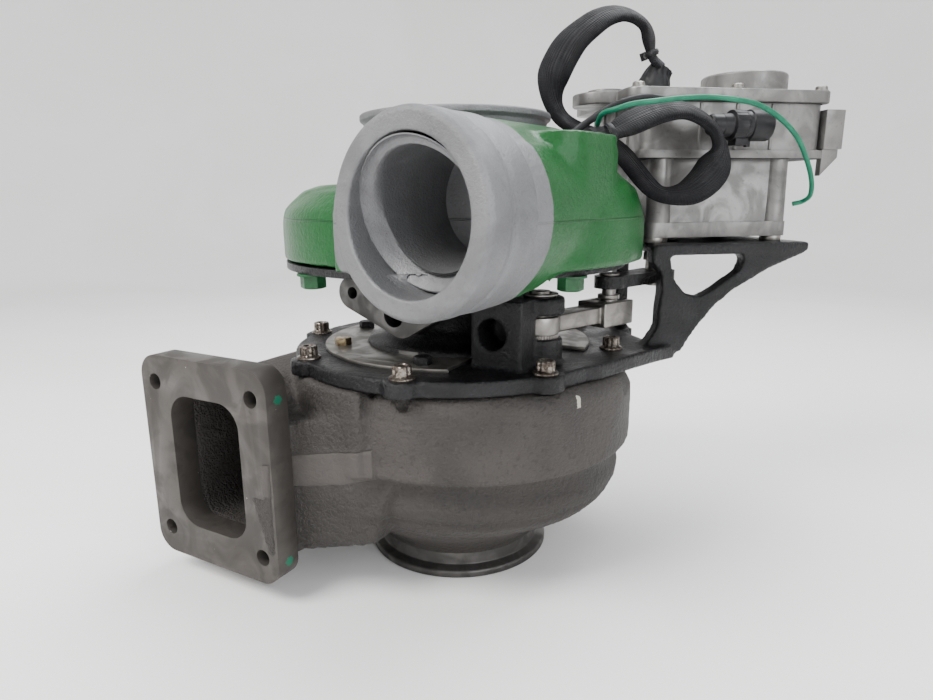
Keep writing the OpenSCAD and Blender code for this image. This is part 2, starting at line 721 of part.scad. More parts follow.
module actuator_arm() color(black) translate([arm_xy[0], arm_xy[1], 0]) difference() {
    union() {
        rod(15, arm_z[0], arm_z[1]);
        rotate([0, 0, link_az + 180]) {
            translate([0, -9, arm_z[0]]) cube([arm_len, 18, arm_z[1] - arm_z[0]]);
            translate([arm_len, 0, 0]) rod(11, arm_z[0], arm_z[1]);
        }
    }
    rod(8 + 0.02, 200, 230);
    rotate([0, 0, link_az + 180]) translate([arm_len, 0, 0]) rod(pin_r + 0.02, 200, 230);
}

module drive_pin() color(steel) translate([pin_xy[0], pin_xy[1], 0]) {
    rod(pin_r, 186, 222);
    rod(roller_r, 186, 202.5);
    rod(8, 203, 206);
    rod(7.5, 220.2, 222);
}

module reduction_gear() color("#c8b27a") act() translate([idler_local[0], idler_local[1], 0])
difference() {
    union() {
        translate([0, 0, gear_z[0]]) linear_extrude(8.1)
            rotate([0, 0, 180 + 180 / small_teeth]) gear_2d(small_teeth, sector_m);
        translate([0, 0, gear_z[1]]) linear_extrude(6) gear_2d(wheel_teeth, wheel_m);
    }
    rod(3, 300, 340);
}

module motor_rotor() color("#8f8f92") act() translate([motor_local[0], motor_local[1], 0]) {
    translate([0, 0, gear_z[1]]) linear_extrude(6.5)
        rotate([0, 0, 180 + 180 / small_teeth]) gear_2d(small_teeth, wheel_m);
    rod(4, 262, 326.1);
    rod(15, 262, 304);
}

turbine_housing();
housing_screws();
support_flange();
cover_disc();
disc_bolts();
bearing_housing();
nozzle_ring_lower();
nozzle_ring_upper();
cartridge_studs();
heat_shield();
lower_bush();
upper_bush();
journal_bearings();
thrust_bearing();
compressor_backplate();
backplate_seal();
compressor_bolts();
compressor_housing();
port_cap();
actuator_spacers();
actuator_lower_housing();
actuator_mid_housing();
actuator_cover();
motor_can();
cover_screws();
side_block();
harness_boot();
harness_sleeve();
connector_lead();
harness_connector();
ground_wire();
cable_ties();
turbine_wheel();
compressor_wheel();
rotor_locknut();
thrust_collar();
lever_shaft();
control_lever();
unison_ring();
output_shaft();
actuator_arm();
drive_pin();
reduction_gear();
motor_rotor();
for (i = [1:vane_count]) vane(i);
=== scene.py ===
"""Variable-geometry turbocharger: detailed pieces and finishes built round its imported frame."""
from contextlib import contextmanager
import json
import math

import bmesh
import bpy
import numpy as np
from mathutils import Matrix, Vector


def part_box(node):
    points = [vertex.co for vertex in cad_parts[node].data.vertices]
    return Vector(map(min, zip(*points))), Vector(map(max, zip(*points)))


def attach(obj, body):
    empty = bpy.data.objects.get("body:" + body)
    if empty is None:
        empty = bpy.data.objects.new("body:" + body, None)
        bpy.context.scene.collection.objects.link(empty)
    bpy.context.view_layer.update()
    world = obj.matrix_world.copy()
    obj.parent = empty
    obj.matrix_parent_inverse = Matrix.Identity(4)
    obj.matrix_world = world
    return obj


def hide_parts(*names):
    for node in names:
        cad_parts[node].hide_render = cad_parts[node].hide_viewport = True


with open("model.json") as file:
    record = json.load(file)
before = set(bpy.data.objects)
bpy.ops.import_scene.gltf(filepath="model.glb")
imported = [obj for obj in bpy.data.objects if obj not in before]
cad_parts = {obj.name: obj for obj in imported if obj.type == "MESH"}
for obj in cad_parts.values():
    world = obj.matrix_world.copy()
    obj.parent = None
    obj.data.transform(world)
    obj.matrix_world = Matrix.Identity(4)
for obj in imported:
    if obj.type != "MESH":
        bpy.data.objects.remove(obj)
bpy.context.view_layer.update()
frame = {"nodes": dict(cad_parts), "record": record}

bl_info = {
    "name": "Turbocharger Builder",
    "version": (1, 0, 0),
    "blender": (4, 5, 0),
    "location": "3D View > Sidebar > Turbocharger",
    "description": "Builds the castings, fasteners, wheels, actuator and harness of a turbocharger",
    "category": "Add Mesh",
}

MM = 0.001
RECORD = frame["record"]
MOUNTS = {mount["name"]: mount for mount in RECORD["mounts"]}
JOINTS = {joint["name"]: joint for joint in RECORD["behaviour"]["joints"]}
INLET = np.array(MOUNTS["turbine_inlet_bolts"]["pos_m"]) / MM
DISCHARGE = np.array(MOUNTS["compressor_discharge"]["pos_m"]) / MM
DISCHARGE_OUT = np.array(MOUNTS["compressor_discharge"]["axis"])
RIM_TOP = MOUNTS["compressor_inlet"]["pos_m"][2] / MM
BODY = "housing"
ACROSS, DEEP, UP = np.eye(3)

# Plan directions of the actuator's front face: along it, and back from it
ACT_TURN = math.radians(39.6)
ALONG = np.array([math.cos(ACT_TURN), math.sin(ACT_TURN), 0.0])
BACK = np.array([-math.sin(ACT_TURN), math.cos(ACT_TURN), 0.0])

# Harness routes in millimetres, as the part's own source lays them
SLEEVE_ROUTE = [
    [125, 103, 374], [118, 98, 382], [114, 94, 400], [107, 88, 408], [97, 80, 411],
    [87, 72, 408], [78, 65, 401], [68, 57, 390], [61, 51, 376], [57, 47, 362], [58, 47, 348],
    [64, 50, 336], [76, 53, 328], [92, 54, 322], [108, 51, 312], [122, 47, 298], [132, 45, 287],
    [141, 44, 280], [151, 46, 278], [161, 51, 280], [170, 57, 288], [176, 60, 299],
    [178, 60, 311], [174, 56, 322], [166, 49, 330], [154, 39, 335], [141, 29, 333],
    [128, 20, 327], [115, 12, 320], [105, 6, 316]]
LEAD_ROUTE = [
    [105, 6, 316], [96, 1, 315], [88, 4, 316], [88, 12, 321], [97, 22, 330], [112, 31, 340],
    [130, 42, 345], [147, 53, 341], [159, 63, 333], [168, 71, 327]]
WIRE_ROUTE = [
    [103, 18, 326], [109, 10, 332], [119, 6, 334], [130, 9, 337], [144, 18, 339],
    [158, 29, 341], [172, 42, 342], [186, 54, 341], [200, 67, 338], [213, 81, 330],
    [224, 97, 318], [231, 112, 303], [235, 124, 289], [235, 134, 278], [230, 142, 273],
    [223, 140, 271]]
CONNECTOR_BASE = np.array([168.0, 71.0, 327.0])
RIDGES = 42                     # lengthwise ridges round the sleeve
TIE_INSET = (14.0, 13.0)        # each tie's distance from its end of the sleeve

# View of the stage
VIEW_RIGHT = Vector((0.87360, 0.48659, -0.00674))
VIEW_UP = Vector((-0.10410, 0.20039, 0.97417))
VIEW_FORWARD = Vector((-0.47537, 0.85034, -0.22572))
VIEW_FROM = Vector((0.257587, -0.446153, 0.277909))
VIEW_FOCAL = 660 / 933          # focal length in frame widths
SLEEVE_FACING = (0.35 * np.array(VIEW_RIGHT) - 0.62 * np.array(VIEW_FORWARD)
                 + 0.7 * np.array(VIEW_UP))


# ---------- settings ----------

def tint(label, about, colour):
    return bpy.props.FloatVectorProperty(name=label, description=about, subtype="COLOR", size=3,
                                         min=0.0, max=1.0, default=colour)


def length(label, about, value, low, high):
    return bpy.props.FloatProperty(name=label, description=about, subtype="DISTANCE",
                                   unit="LENGTH", default=value * MM, min=low * MM, max=high * MM)


class TurboSizes(bpy.types.PropertyGroup):
    """Sizes of the detailed pieces"""
    scroll_voxel: length("Scroll Grid", "Grid that the large castings are blended on", 2.3, 1.5, 5)
    bracket_voxel: length("Bracket Grid", "Grid that the small castings are blended on",
                          1.6, 1.2, 4)
    sleeve_width: length("Sleeve Width", "Width of the flat harness sleeve", 24, 12, 28)
    sleeve_thickness: length("Sleeve Thickness", "Thickness of the flat harness sleeve",
                             6.8, 5, 12)
    wire_width: length("Wire Diameter", "Diameter of the green wire", 3.6, 2, 5)
    lead_width: length("Lead Diameter", "Diameter of the connector's lead", 5, 4, 9)


class TurboColours(bpy.types.PropertyGroup):
    """Colours of the finishes"""
    iron: tint("Cast Iron", "Turbine housing's casting skin", (0.030, 0.0265, 0.024))
    iron_light: tint("Cast Iron, Worn", "Lighter patches of the casting", (0.052, 0.046, 0.042))
    black: tint("Black Casting", "Oiled bracket and bearing housing", (0.004, 0.004, 0.0045))
    enamel: tint("Enamel", "Compressor housing's paint", (0.003, 0.068, 0.012))
    bare: tint("Bare Aluminium", "Shot-blasted hose ends", (0.20, 0.202, 0.208))
    die_cast: tint("Die Casting", "Actuator housings", (0.205, 0.20, 0.193))
    steel: tint("Machined Steel", "Lever, disc and fasteners", (0.30, 0.285, 0.265))
    sleeve: tint("Sleeve", "Braided harness sleeve", (0.006, 0.006, 0.007))
    wire: tint("Wire", "Insulation of the loose wire", (0.004, 0.115, 0.062))


# ---------- surfaces ----------

def unit(v):
    v = np.asarray(v, float)
    return v / np.linalg.norm(v, axis=-1, keepdims=True)


def basis(z, x=(1, 0, 0)):
    """Rows are three directions at right angles: x turned square to z, their cross, and z."""
    z = unit(z)
    x = np.asarray(x, float)
    x = unit(x - np.dot(x, z) * z)
    return np.stack([x, np.cross(z, x), z])


def ramp(value, start, end):
    """0 before start, 1 after end, and a smooth step between; end may be the lower one."""
    t = np.clip((value - start) / (end - start), 0, 1)
    return t * t * (3 - 2 * t)


def round_angles(count):
    return np.linspace(0, 2 * np.pi, count, endpoint=False)


def grid_faces(rows, cols, wrap_rows=False):
    """Quads between neighbours of a grid, row by row; columns always join last to first, and
    wrapped rows do too."""
    i, j = np.meshgrid(np.arange(rows if wrap_rows else rows - 1), np.arange(cols),
                       indexing="ij")
    i2, j2 = (i + 1) % rows, (j + 1) % cols
    return np.stack([i * cols + j, i * cols + j2, i2 * cols + j2, i2 * cols + j],
                    axis=-1).reshape(-1, 4)


def new_piece(name, *parts):
    """Mesh object from (points, faces) pairs: points in millimetres, four-cornered faces."""
    counts = np.cumsum([0] + [len(points) for points, _ in parts[:-1]])
    points = np.concatenate([points for points, _ in parts])
    faces = np.concatenate([faces + n for (_, faces), n in zip(parts, counts)])
    mesh = bpy.data.meshes.new(name)
    mesh.vertices.add(len(points))
    mesh.vertices.foreach_set("co", (np.asarray(points, float) * MM).ravel())
    mesh.loops.add(faces.size)
    mesh.loops.foreach_set("vertex_index", faces.ravel().astype(np.int32))
    mesh.polygons.add(len(faces))
    mesh.polygons.foreach_set("loop_start", np.arange(len(faces), dtype=np.int32) * 4)
    mesh.update(calc_edges=True)
    return placed(name, mesh)


def placed(name, data):
    made = bpy.data.objects.new(name, data)
    bpy.context.scene.collection.objects.link(made)
    return made


def eased(outline, radius, steps=4, closed=True):
    """Outline whose corners are parabolas: each starts `radius` before its corner."""
    p = np.asarray(outline, float)

    def towards(q):
        step = q - p
        far = np.linalg.norm(step, axis=1, keepdims=True)
        return p + step * np.minimum(radius / np.maximum(far, 1e-6), 0.45)

    a, b = towards(np.roll(p, 1, axis=0)), towards(np.roll(p, -1, axis=0))
    t = np.linspace(0, 1, steps + 1)[None, :, None]
    curve = (1 - t) ** 2 * a[:, None] + 2 * t * (1 - t) * p[:, None] + t ** 2 * b[:, None]
    if not closed:
        curve[0], curve[-1] = p[0], p[-1]
    return curve.reshape(-1, p.shape[1])


def turned(profile, turns=128, closed=True, waist=None, share=None, origin=(0, 0, 0),
           z=(0, 0, 1), x=(1, 0, 0)):
    """Points and faces of rows of (radius, height) turned about z: a closed loop, or an open
    one that ends on the axis. Radius is scaled by waist(angle) as far as the row's share says."""
    angle = round_angles(turns)
    profile = np.asarray(profile, float)
    scale = np.ones((len(profile), turns))
    if waist is not None:
        scale += np.asarray(share, float)[:, None] * (waist(angle)[None] - 1)
    r = profile[:, :1] * scale
    local = np.stack([r * np.cos(angle), r * np.sin(angle),
                      np.repeat(profile[:, 1:2], turns, axis=1)], axis=-1)
    return (np.asarray(origin, float) + local.reshape(-1, 3) @ basis(z, x),
            grid_faces(len(profile), turns, wrap_rows=closed))


def hexagon(angle):
    """Radius of a hexagon of unit apothem: one over the cosine of the angle from its flat."""
    return 1 / np.cos((angle + np.pi / 6) % (np.pi / 3) - np.pi / 6)


def twelve_point(angle):
    """Two hexagons a twelfth of a turn apart, whichever reaches further."""
    return np.maximum(hexagon(angle), hexagon(angle + np.pi / 6))


def smooth_path(route, per=8):
    """Catmull-Rom curve through the route: each span is a cubic set by its four neighbours."""
    p = np.asarray(route, float)
    p = np.concatenate([[2 * p[0] - p[1]], p, [2 * p[-1] - p[-2]]])
    t = np.linspace(0, 1, per, endpoint=False)[None, :, None]
    a, b, c, d = p[:-3, None], p[1:-2, None], p[2:-1, None], p[3:, None]
    spans = 0.5 * (2 * b + (c - a) * t + (2 * a - 5 * b + 4 * c - d) * t ** 2
                   + (3 * b - a - 3 * c + d) * t ** 3)
    return np.concatenate([spans.reshape(-1, 3), p[-2:-1]])


def spans_of(path):
    return np.linalg.norm(np.diff(path, axis=0), axis=1)


def path_length(path):
    return float(spans_of(path).sum())


def distances(path):
    """How far along the path each of its points lies."""
    return np.concatenate([[0], np.cumsum(spans_of(path))])


def path_axes(path, facing):
    """Along, wide and thin directions at each point: thin is `facing` squared to the path."""
    along = unit(np.gradient(path, axis=0))
    thin = np.asarray(facing, float) - along * (along @ np.asarray(facing, float))[:, None]
    for _ in range(12):
        thin[1:-1] = (thin[:-2] + thin[1:-1] * 2 + thin[2:]) / 4
    thin = unit(thin - along * (thin * along).sum(axis=1, keepdims=True))
    return along, np.cross(along, thin), thin


def sweep(path, section, facing, grow=1.0):
    """A closed section (wide, thin) carried along a path, scaled by grow at each point, with a
    closed cap at each end."""
    _, wide, thin = path_axes(path, facing)
    grow = np.concatenate([[0], grow * np.ones(len(path)), [0]])
    path, wide, thin = (np.concatenate([v[:1], v, v[-1:]]) for v in (path, wide, thin))
    points = (path[:, None] + grow[:, None, None] * (section[None, :, :1] * wide[:, None]
                                                    + section[None, :, 1:] * thin[:, None]))
    return points.reshape(-1, 3), grid_faces(len(path), len(section))


def rings(path, radius, facing, angle):
    """Round sections along a path: radius times the cosine of the angle along the wide
    direction at each point, and radius times its sine along the thin one."""
    _, wide, thin = path_axes(path, facing)
    return (path[:, None] + (radius * np.cos(angle))[..., None] * wide[:, None]
            + (radius * np.sin(angle))[..., None] * thin[:, None])


@contextmanager
def open_mesh(piece):
    """The piece's mesh opened for edits, and written back after them."""
    mesh = bmesh.new()
    mesh.from_mesh(piece.data)
    yield mesh
    mesh.to_mesh(piece.data)
    mesh.free()


def weld(piece, distance=2e-6):
    """Merges doubled points, drops faces with no area and turns the rest outwards."""
    with open_mesh(piece) as mesh:
        bmesh.ops.remove_doubles(mesh, verts=mesh.verts, dist=distance)
        bmesh.ops.dissolve_degenerate(mesh, edges=mesh.edges, dist=distance)
        bmesh.ops.recalc_face_normals(mesh, faces=mesh.faces)
    return piece


def shade(piece, sharp=38):
    """Smooth shading that breaks where two faces meet more sharply than the angle."""
    piece.data.shade_smooth()
    if sharp:
        piece.data.set_sharp_from_angle(angle=math.radians(sharp))
    return piece


def shell(name, *parts, sharp=38):
    """A new piece, welded and shaded."""
    return shade(weld(new_piece(name, *parts)), sharp)


def modify(piece, kind, **settings):
    modifier = piece.modifiers.new(kind.title(), kind)
    for name, value in settings.items():
        setattr(modifier, name, value)


def settle(piece):
    """Applies the piece's modifiers to its mesh."""
    found = piece.evaluated_get(bpy.context.evaluated_depsgraph_get())
    mesh = bpy.data.meshes.new_from_object(found)
    old = piece.data
    piece.modifiers.clear()
    piece.data = mesh
    bpy.data.meshes.remove(old)
    return piece


def merged_copy(node, name):
    """A copy of a CAD node with its loose triangles merged, its own materials taken off."""
    piece = placed(name, frame["nodes"][node].data.copy())
    piece.data.name = name
    piece.data.materials.clear()
    with open_mesh(piece) as mesh:
        bmesh.ops.remove_doubles(mesh, verts=mesh.verts, dist=5e-6)
    return piece


def blended_copy(node, name, voxel, passes, roughness, grain):
    """A casting: the copy is rebuilt on an even grid, relaxed so that every edge and inner
    corner is rounded, and its skin is pushed in and out by a fine cloud pattern."""
    cloud = bpy.data.textures.new("cloud", "CLOUDS")
    cloud.noise_scale = grain * MM
    cloud.noise_depth = 2
    piece = merged_copy(node, name)
    modify(piece, "REMESH", mode="VOXEL", voxel_size=voxel)
    modify(piece, "SMOOTH", factor=0.5, iterations=passes)
    modify(piece, "DISPLACE", texture=cloud, texture_coords="LOCAL", strength=roughness * MM,
           mid_level=0.5)
    return shade(settle(piece), None)


def crisp(piece, width, segments=2):
    """Makes flat faces whole and rounds the edges between them to the width."""
    with open_mesh(piece) as mesh:
        bmesh.ops.dissolve_limit(mesh, angle_limit=math.radians(0.6), verts=mesh.verts,
                                 edges=mesh.edges)
    modify(piece, "BEVEL", width=width * MM, segments=segments, limit_method="ANGLE",
           angle_limit=math.radians(32))
    return shade(settle(piece), 30)


def crisp_copy(node, name, width, segments=2):
    """A machined or die-cast piece."""
    return crisp(merged_copy(node, name), width, segments)


def near_part(node, name, front, width):
    """The part of a CAD node with y below a plane: cut off there, capped, its edges rounded."""
    piece = merged_copy(node, name)
    with open_mesh(piece) as mesh:
        bmesh.ops.bisect_plane(mesh, geom=mesh.verts[:] + mesh.edges[:] + mesh.faces[:],
                               plane_co=Vector((0, front, 0)) * MM, plane_no=(0, -1, 0),
                               clear_inner=True)
        rim = [edge for edge in mesh.edges if edge.is_boundary]
        bmesh.ops.triangle_fill(mesh, use_beauty=True, use_dissolve=False, edges=rim,
                                normal=(0, 1, 0))
        bmesh.ops.recalc_face_normals(mesh, faces=mesh.faces)
    return crisp(piece, width)


def coordinates(piece):
    """Points and outward normals of a piece, in millimetres and unit vectors."""
    count = len(piece.data.vertices)
    points, normals = np.empty(count * 3), np.empty(count * 3)
    piece.data.vertices.foreach_get("co", points)
    piece.data.vertices.foreach_get("normal", normals)
    return points.reshape(-1, 3) / MM, normals.reshape(-1, 3)


def move_to(piece, points):
    piece.data.vertices.foreach_set("co", (points * MM).ravel())
    piece.data.update()


def paint(piece, material):
    piece.data.materials.clear()
    piece.data.materials.append(material)
    return piece


def hand_over(piece, slot, *nodes, body=BODY, finish=None):
    """Gives a piece its finish, which is its slot's if no other is named, puts it on its body
    and hides the nodes it stands for."""
    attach(paint(piece, FINISHES[finish or slot]), body)
    if nodes:
        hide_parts(*nodes)
    return piece


# ---------- finishes ----------

class Nodes:
    """A shader tree being filled; each call adds a node and gives back its output."""

    def join(self, source, target):
        """Links a socket, or sets the target's own number, vector or colour."""
        if isinstance(source, bpy.types.NodeSocket):
            self.tree.links.new(source, target)
        elif np.ndim(source) == 0:
            target.default_value = source
        else:
            target.default_value = (*source, 1.0)[:len(target.default_value)]

    def node(self, kind, inputs=(), output=0, **settings):
        """A node with its settings, and a source for each input's name or number."""
        made = self.tree.nodes.new("ShaderNode" + kind)
        for name, value in settings.items():
            setattr(made, name, value)
        for socket, source in dict(inputs).items():
            self.join(source, made.inputs[socket])
        return made.outputs[output]

    def maths(self, operation, *values):
        return self.node("Math", enumerate(values), operation=operation)

    def times(self, a, b):
        return self.maths("MULTIPLY", a, b)

    def plus(self, a, b):
        return self.maths("ADD", a, b)

    def vector(self, operation, *values, output="Value"):
        return self.node("VectorMath", enumerate(values), output, operation=operation)

    def step(self, value, low, high, out_low=0.0, out_high=1.0):
        """A value's place from low to high, as a smooth step, on a new range."""
        return self.node("MapRange", enumerate((value, low, high, out_low, out_high)),
                         interpolation_type="SMOOTHSTEP")

    def noise(self, scale, detail=4.0, distortion=0.0, at=None):
        return self.node("TexNoise", {"Vector": at or self.place, "Scale": scale,
                                      "Detail": detail, "Distortion": distortion}, "Fac")


class Effect(Nodes):
    """A node group being made: a vector and numbers go in, and only numbers come out."""

    def __init__(self, name, **numbers):
        self.tree = bpy.data.node_groups.new(name, "ShaderNodeTree")
        self.socket("Vector", "INPUT", "NodeSocketVector")
        for label, value in numbers.items():
            self.socket(label.replace("_", " "), "INPUT").default_value = value
        self.given = self.tree.nodes.new("NodeGroupInput").outputs
        self.place = self.given["Vector"]
        EFFECTS[name] = self.tree

    def socket(self, label, side, kind="NodeSocketFloat"):
        return self.tree.interface.new_socket(label, in_out=side, socket_type=kind)

    def give(self, **results):
        for label in results:
            self.socket(label, "OUTPUT")
        ends = self.tree.nodes.new("NodeGroupOutput").inputs
        for label, value in results.items():
            self.join(value, ends[label])


def casting_grain():
    """Sand skin: a coarse and a fine noise summed for height, and a broad one for patches."""
    made = Effect("Casting Grain", Scale=400.0, Patch_Scale=25.0)
    fine = made.noise(made.times(made.given["Scale"], 2.3), 3.0)
    coarse = made.noise(made.given["Scale"], 5.0, 0.3)
    made.give(Height=made.plus(made.times(fine, 0.35), made.times(coarse, 0.65)),
              Patches=made.step(made.noise(made.given["Patch Scale"], 6.0, 0.6), 0.35, 0.68),
              Pits=made.step(coarse, 0.44, 0.33))


def mottle():
    """Cloudy stains of two sizes, and small dark specks where a fine noise is low."""
    made = Effect("Mottle", Scale=60.0)
    fine = made.noise(made.times(made.given["Scale"], 9.0))
    made.give(Stains=made.step(made.noise(made.given["Scale"], 6.0, 1.2), 0.36, 0.66),
              Specks=made.step(fine, 0.40, 0.28), Height=fine)


def tool_marks():
    """Fine lines of constant distance from an axis through the origin along Z, and streaks."""
    made = Effect("Tool Marks", Pitch=900.0)
    split = made.node("SeparateXYZ", {0: made.place}).node.outputs
    far = made.maths("SQRT", made.plus(made.times(split[0], split[0]),
                                       made.times(split[1], split[1])))
    turned_place = made.node("CombineXYZ", {0: far, 1: split[2]})
    made.give(Lines=made.noise(made.given["Pitch"], 2.0, at=turned_place),
              Smudges=made.step(made.noise(45.0, 6.0, 1.0), 0.38, 0.66))


class Finish(Nodes):
    """A material being made: its tree, its shader's inputs and calls for its own patterns."""

    def __init__(self, name, **sockets):
        self.material = bpy.data.materials.new(name)
        self.material.use_nodes = True
        self.tree = self.material.node_tree
        self.shader = self.tree.nodes["Principled BSDF"].inputs
        for label, value in sockets.items():
            self.shader[label.replace("_", " ")].default_value = value
        self.place = self.node("TexCoord", output="Object")

    def effect(self, name, **values):
        made = self.tree.nodes.new("ShaderNodeGroup")
        made.node_tree = EFFECTS[name]
        for label, value in dict(values, Vector=self.place).items():
            self.join(value, made.inputs[label.replace("_", " ")])
        return made.outputs

    def blend(self, mask, first, second):
        return self.node("Mix", {0: mask, 6: first, 7: second}, 2, data_type="RGBA")

    def colour(self, socket):
        self.join(socket, self.shader["Base Color"])

    def rough(self, socket, low, high):
        self.join(self.step(socket, 0.0, 1.0, low, high), self.shader["Roughness"])

    def bump(self, height, depth, strength=1.0):
        """Relief whose depth is in millimetres."""
        self.join(self.node("Bump", {"Strength": strength, "Distance": depth * MM,
                                     "Height": height}), self.shader["Normal"])
        return self.material

    def axis_part(self, direction, start=(0, 0, 0)):
        """Distance along a direction from a starting point, in metres."""
        return self.maths("SUBTRACT", self.vector("DOT_PRODUCT", self.place, direction),
                          float(np.dot(direction, start)))

    def far_from(self, point, direction):
        """Distance from the line through a point along a direction, in metres."""
        away = self.vector("SUBTRACT", self.place, point, output="Vector")
        return self.vector("LENGTH", self.vector("CROSS_PRODUCT", away, direction,
                                                 output="Vector"))

    def spot(self, point, radius):
        """1 within a wobbly-edged ball about a point, 0 outside it."""
        far = self.plus(self.vector("DISTANCE", self.place, point),
                        self.times(self.noise(500.0, 3.0), radius * 0.9))
        return self.step(far, radius * 1.3, radius * 1.2)


def darker(colour, share):
    return tuple(c * share for c in colour)


def iron_finish(colours):
    """Sand-cast iron: brown-grey, dull and coarse, with painted shade darkening it under the
    scroll's band, and one stroke of pale paint on the band."""
    made = Finish("cast iron", Specular_IOR_Level=0.35)
    grain = made.effect("Casting Grain", Scale=290.0, Patch_Scale=16.0)
    # One darker tone serves both the casting's real pits and the painted shade under the band
    dark = darker(colours.iron, 0.5)
    base = made.blend(grain["Patches"], colours.iron, colours.iron_light)
    # Painted shade: the colour darkens below the scroll's band, where the band's overhang keeps the
    # light from above off it
    base = made.blend(made.step(made.axis_part(UP), 99 * MM, 84 * MM, 0.0, 0.45), base, dark)
    base = made.blend(made.times(grain["Pits"], 0.35), base, dark)
    # The duct's flat cheek: in front of a plane, and within two sides and two sloping levels
    pad = made.step(made.axis_part(DEEP), -112 * MM, -113 * MM)
    across = made.axis_part(ACROSS)
    level = made.axis_part((-0.18, 0.0, 1.0), np.array([-62, 0, 0]) * MM)
    for value, edge, inside in ((across, -63, -62), (across, 7, 6), (level, 82, 83),
                                (level, 106, 105)):
        pad = made.times(pad, made.step(value, edge * MM, inside * MM))
    base = made.blend(made.times(pad, 0.5), base, darker(colours.iron_light, 1.35))
    # The stroke of paint: a ragged upright oblong on the band's outside
    mark = np.array([123.5, -51.9, 147.0])
    outward = unit(mark * [1, 1, 0])
    ragged = made.times(made.noise(900.0, 2.0), 2.4 * MM)
    sides = []
    for direction, half, inner in ((np.cross(UP, outward), 2.9, 2.6), (UP, 5.4, 5.0)):
        away = made.maths("ABSOLUTE", made.axis_part(direction, mark * MM))
        sides.append(made.step(made.plus(away, ragged), half * MM, inner * MM))
    stroke = made.times(made.times(*sides),
                        made.step(made.axis_part(outward), 100 * MM, 101 * MM))
    made.colour(made.blend(stroke, base, (0.42, 0.41, 0.34)))
    made.rough(grain["Patches"], 0.58, 0.74)
    smoother = made.maths("SUBTRACT", 1.0, made.times(pad, 0.7))
    return made.bump(made.times(grain["Height"], smoother), 3.2)


def machined_iron_finish():
    """Milled iron face: brown-grey with smudges, faint scratches, a few bright nicks and two
    dabs of green paint on its side."""
    made = Finish("machined iron", Metallic=0.4)
    stain = made.effect("Mottle", Scale=32.0)
    marks = made.effect("Tool Marks", Pitch=700.0)
    base = made.blend(stain["Stains"], (0.042, 0.037, 0.033), (0.062, 0.055, 0.049))
    base = made.blend(stain["Specks"], base, (0.045, 0.04, 0.036))
    base = made.blend(made.step(made.noise(130.0, 2.0, 2.5), 0.765, 0.79), base,
                      (0.5, 0.5, 0.48))
    for dz in (56, -61):
        dab = (INLET + np.array([62, 10.5, dz])) * MM
        base = made.blend(made.spot(dab, 4.2 * MM), base, (0.005, 0.14, 0.075))
    made.colour(base)
    made.rough(stain["Stains"], 0.6, 0.42)
    return made.bump(marks["Lines"], 0.08, 0.5)


def black_finish(colours):
    """Oiled black casting: pebbled skin with a bluish sheen."""
    made = Finish("black casting", Specular_IOR_Level=0.28)
    grain = made.effect("Casting Grain", Scale=460.0, Patch_Scale=30.0)
    base = made.blend(grain["Patches"], colours.black, darker(colours.black, 2.0))
    made.colour(made.blend(grain["Pits"], base, darker(colours.black, 0.5)))
    made.rough(grain["Patches"], 0.46, 0.28)
    return made.bump(grain["Height"], 1.8, 0.9)


def steel_finish(name, colour, roughness=0.34, pitch=900.0):
    """Machined metal: turned lines, smudges of oil and slight staining."""
    made = Finish(name, Metallic=0.95)
    marks = made.effect("Tool Marks", Pitch=pitch)
    base = made.blend(marks["Smudges"], colour, darker(colour, 0.62))
    made.colour(made.blend(made.times(marks["Lines"], 0.35), base, darker(colour, 0.45)))
    made.rough(marks["Smudges"], roughness, roughness + 0.16)
    return made.bump(marks["Lines"], 0.06, 0.6)


def enamel_finish(colours):
    """Green enamel over cast skin; bare blasted metal at both hose ends, past a hand-masked
    edge, with the mould's parting line round the scroll's waist."""
    made = Finish("green enamel", Specular_IOR_Level=0.2, Coat_Roughness=0.14)
    grain = made.effect("Casting Grain", Scale=330.0, Patch_Scale=14.0)
    depth = made.axis_part(-DISCHARGE_OUT, DISCHARGE * MM)
    aside = made.far_from(DISCHARGE * MM, DISCHARGE_OUT)
    wander = made.times(made.noise(22.0, 3.0), 9 * MM)
    outside = made.times(made.step(made.plus(depth, wander), 63 * MM, 62.2 * MM),
                         made.step(aside, 62 * MM, 61 * MM))
    at_mouth = made.maths("MAXIMUM", outside, made.step(aside, 47 * MM, 46 * MM))
    height = made.axis_part(UP)
    at_inlet = made.times(made.step(height, 302 * MM, 302.6 * MM),
                          made.step(made.far_from((0, 0, 0), UP), 73 * MM, 72 * MM))
    bare = made.maths("MAXIMUM", at_mouth, at_inlet)
    green = made.blend(grain["Patches"], colours.enamel, darker(colours.enamel, 1.2))
    green = made.blend(made.times(grain["Pits"], 0.4), green, darker(colours.enamel, 0.5))
    metal = made.blend(grain["Patches"], colours.bare, darker(colours.bare, 0.82))
    made.colour(made.blend(bare, green, metal))
    made.join(made.times(made.maths("SUBTRACT", 1.0, bare), 0.18), made.shader["Coat Weight"])
    made.join(made.times(bare, 0.7), made.shader["Metallic"])
    made.rough(bare, 0.34, 0.62)
    waist = made.maths("ABSOLUTE", made.maths("SUBTRACT", height, 264 * MM))
    line = made.step(waist, 0.9 * MM, 0.1 * MM, 0.0, 1.2)
    return made.bump(made.plus(made.times(grain["Height"], 0.9), line), 1.3, 0.8)


def blasted_finish(colours):
    """Shot-blasted aluminium: pale, dull, evenly pitted."""
    made = Finish("blasted aluminium", Metallic=0.75)
    grain = made.effect("Casting Grain", Scale=620.0, Patch_Scale=26.0)
    base = made.blend(grain["Patches"], colours.bare, darker(colours.bare, 0.8))
    made.colour(made.blend(made.times(grain["Pits"], 0.25), base, darker(colours.bare, 0.55)))
    made.rough(grain["Patches"], 0.55, 0.68)
    return made.bump(grain["Height"], 0.9, 0.8)


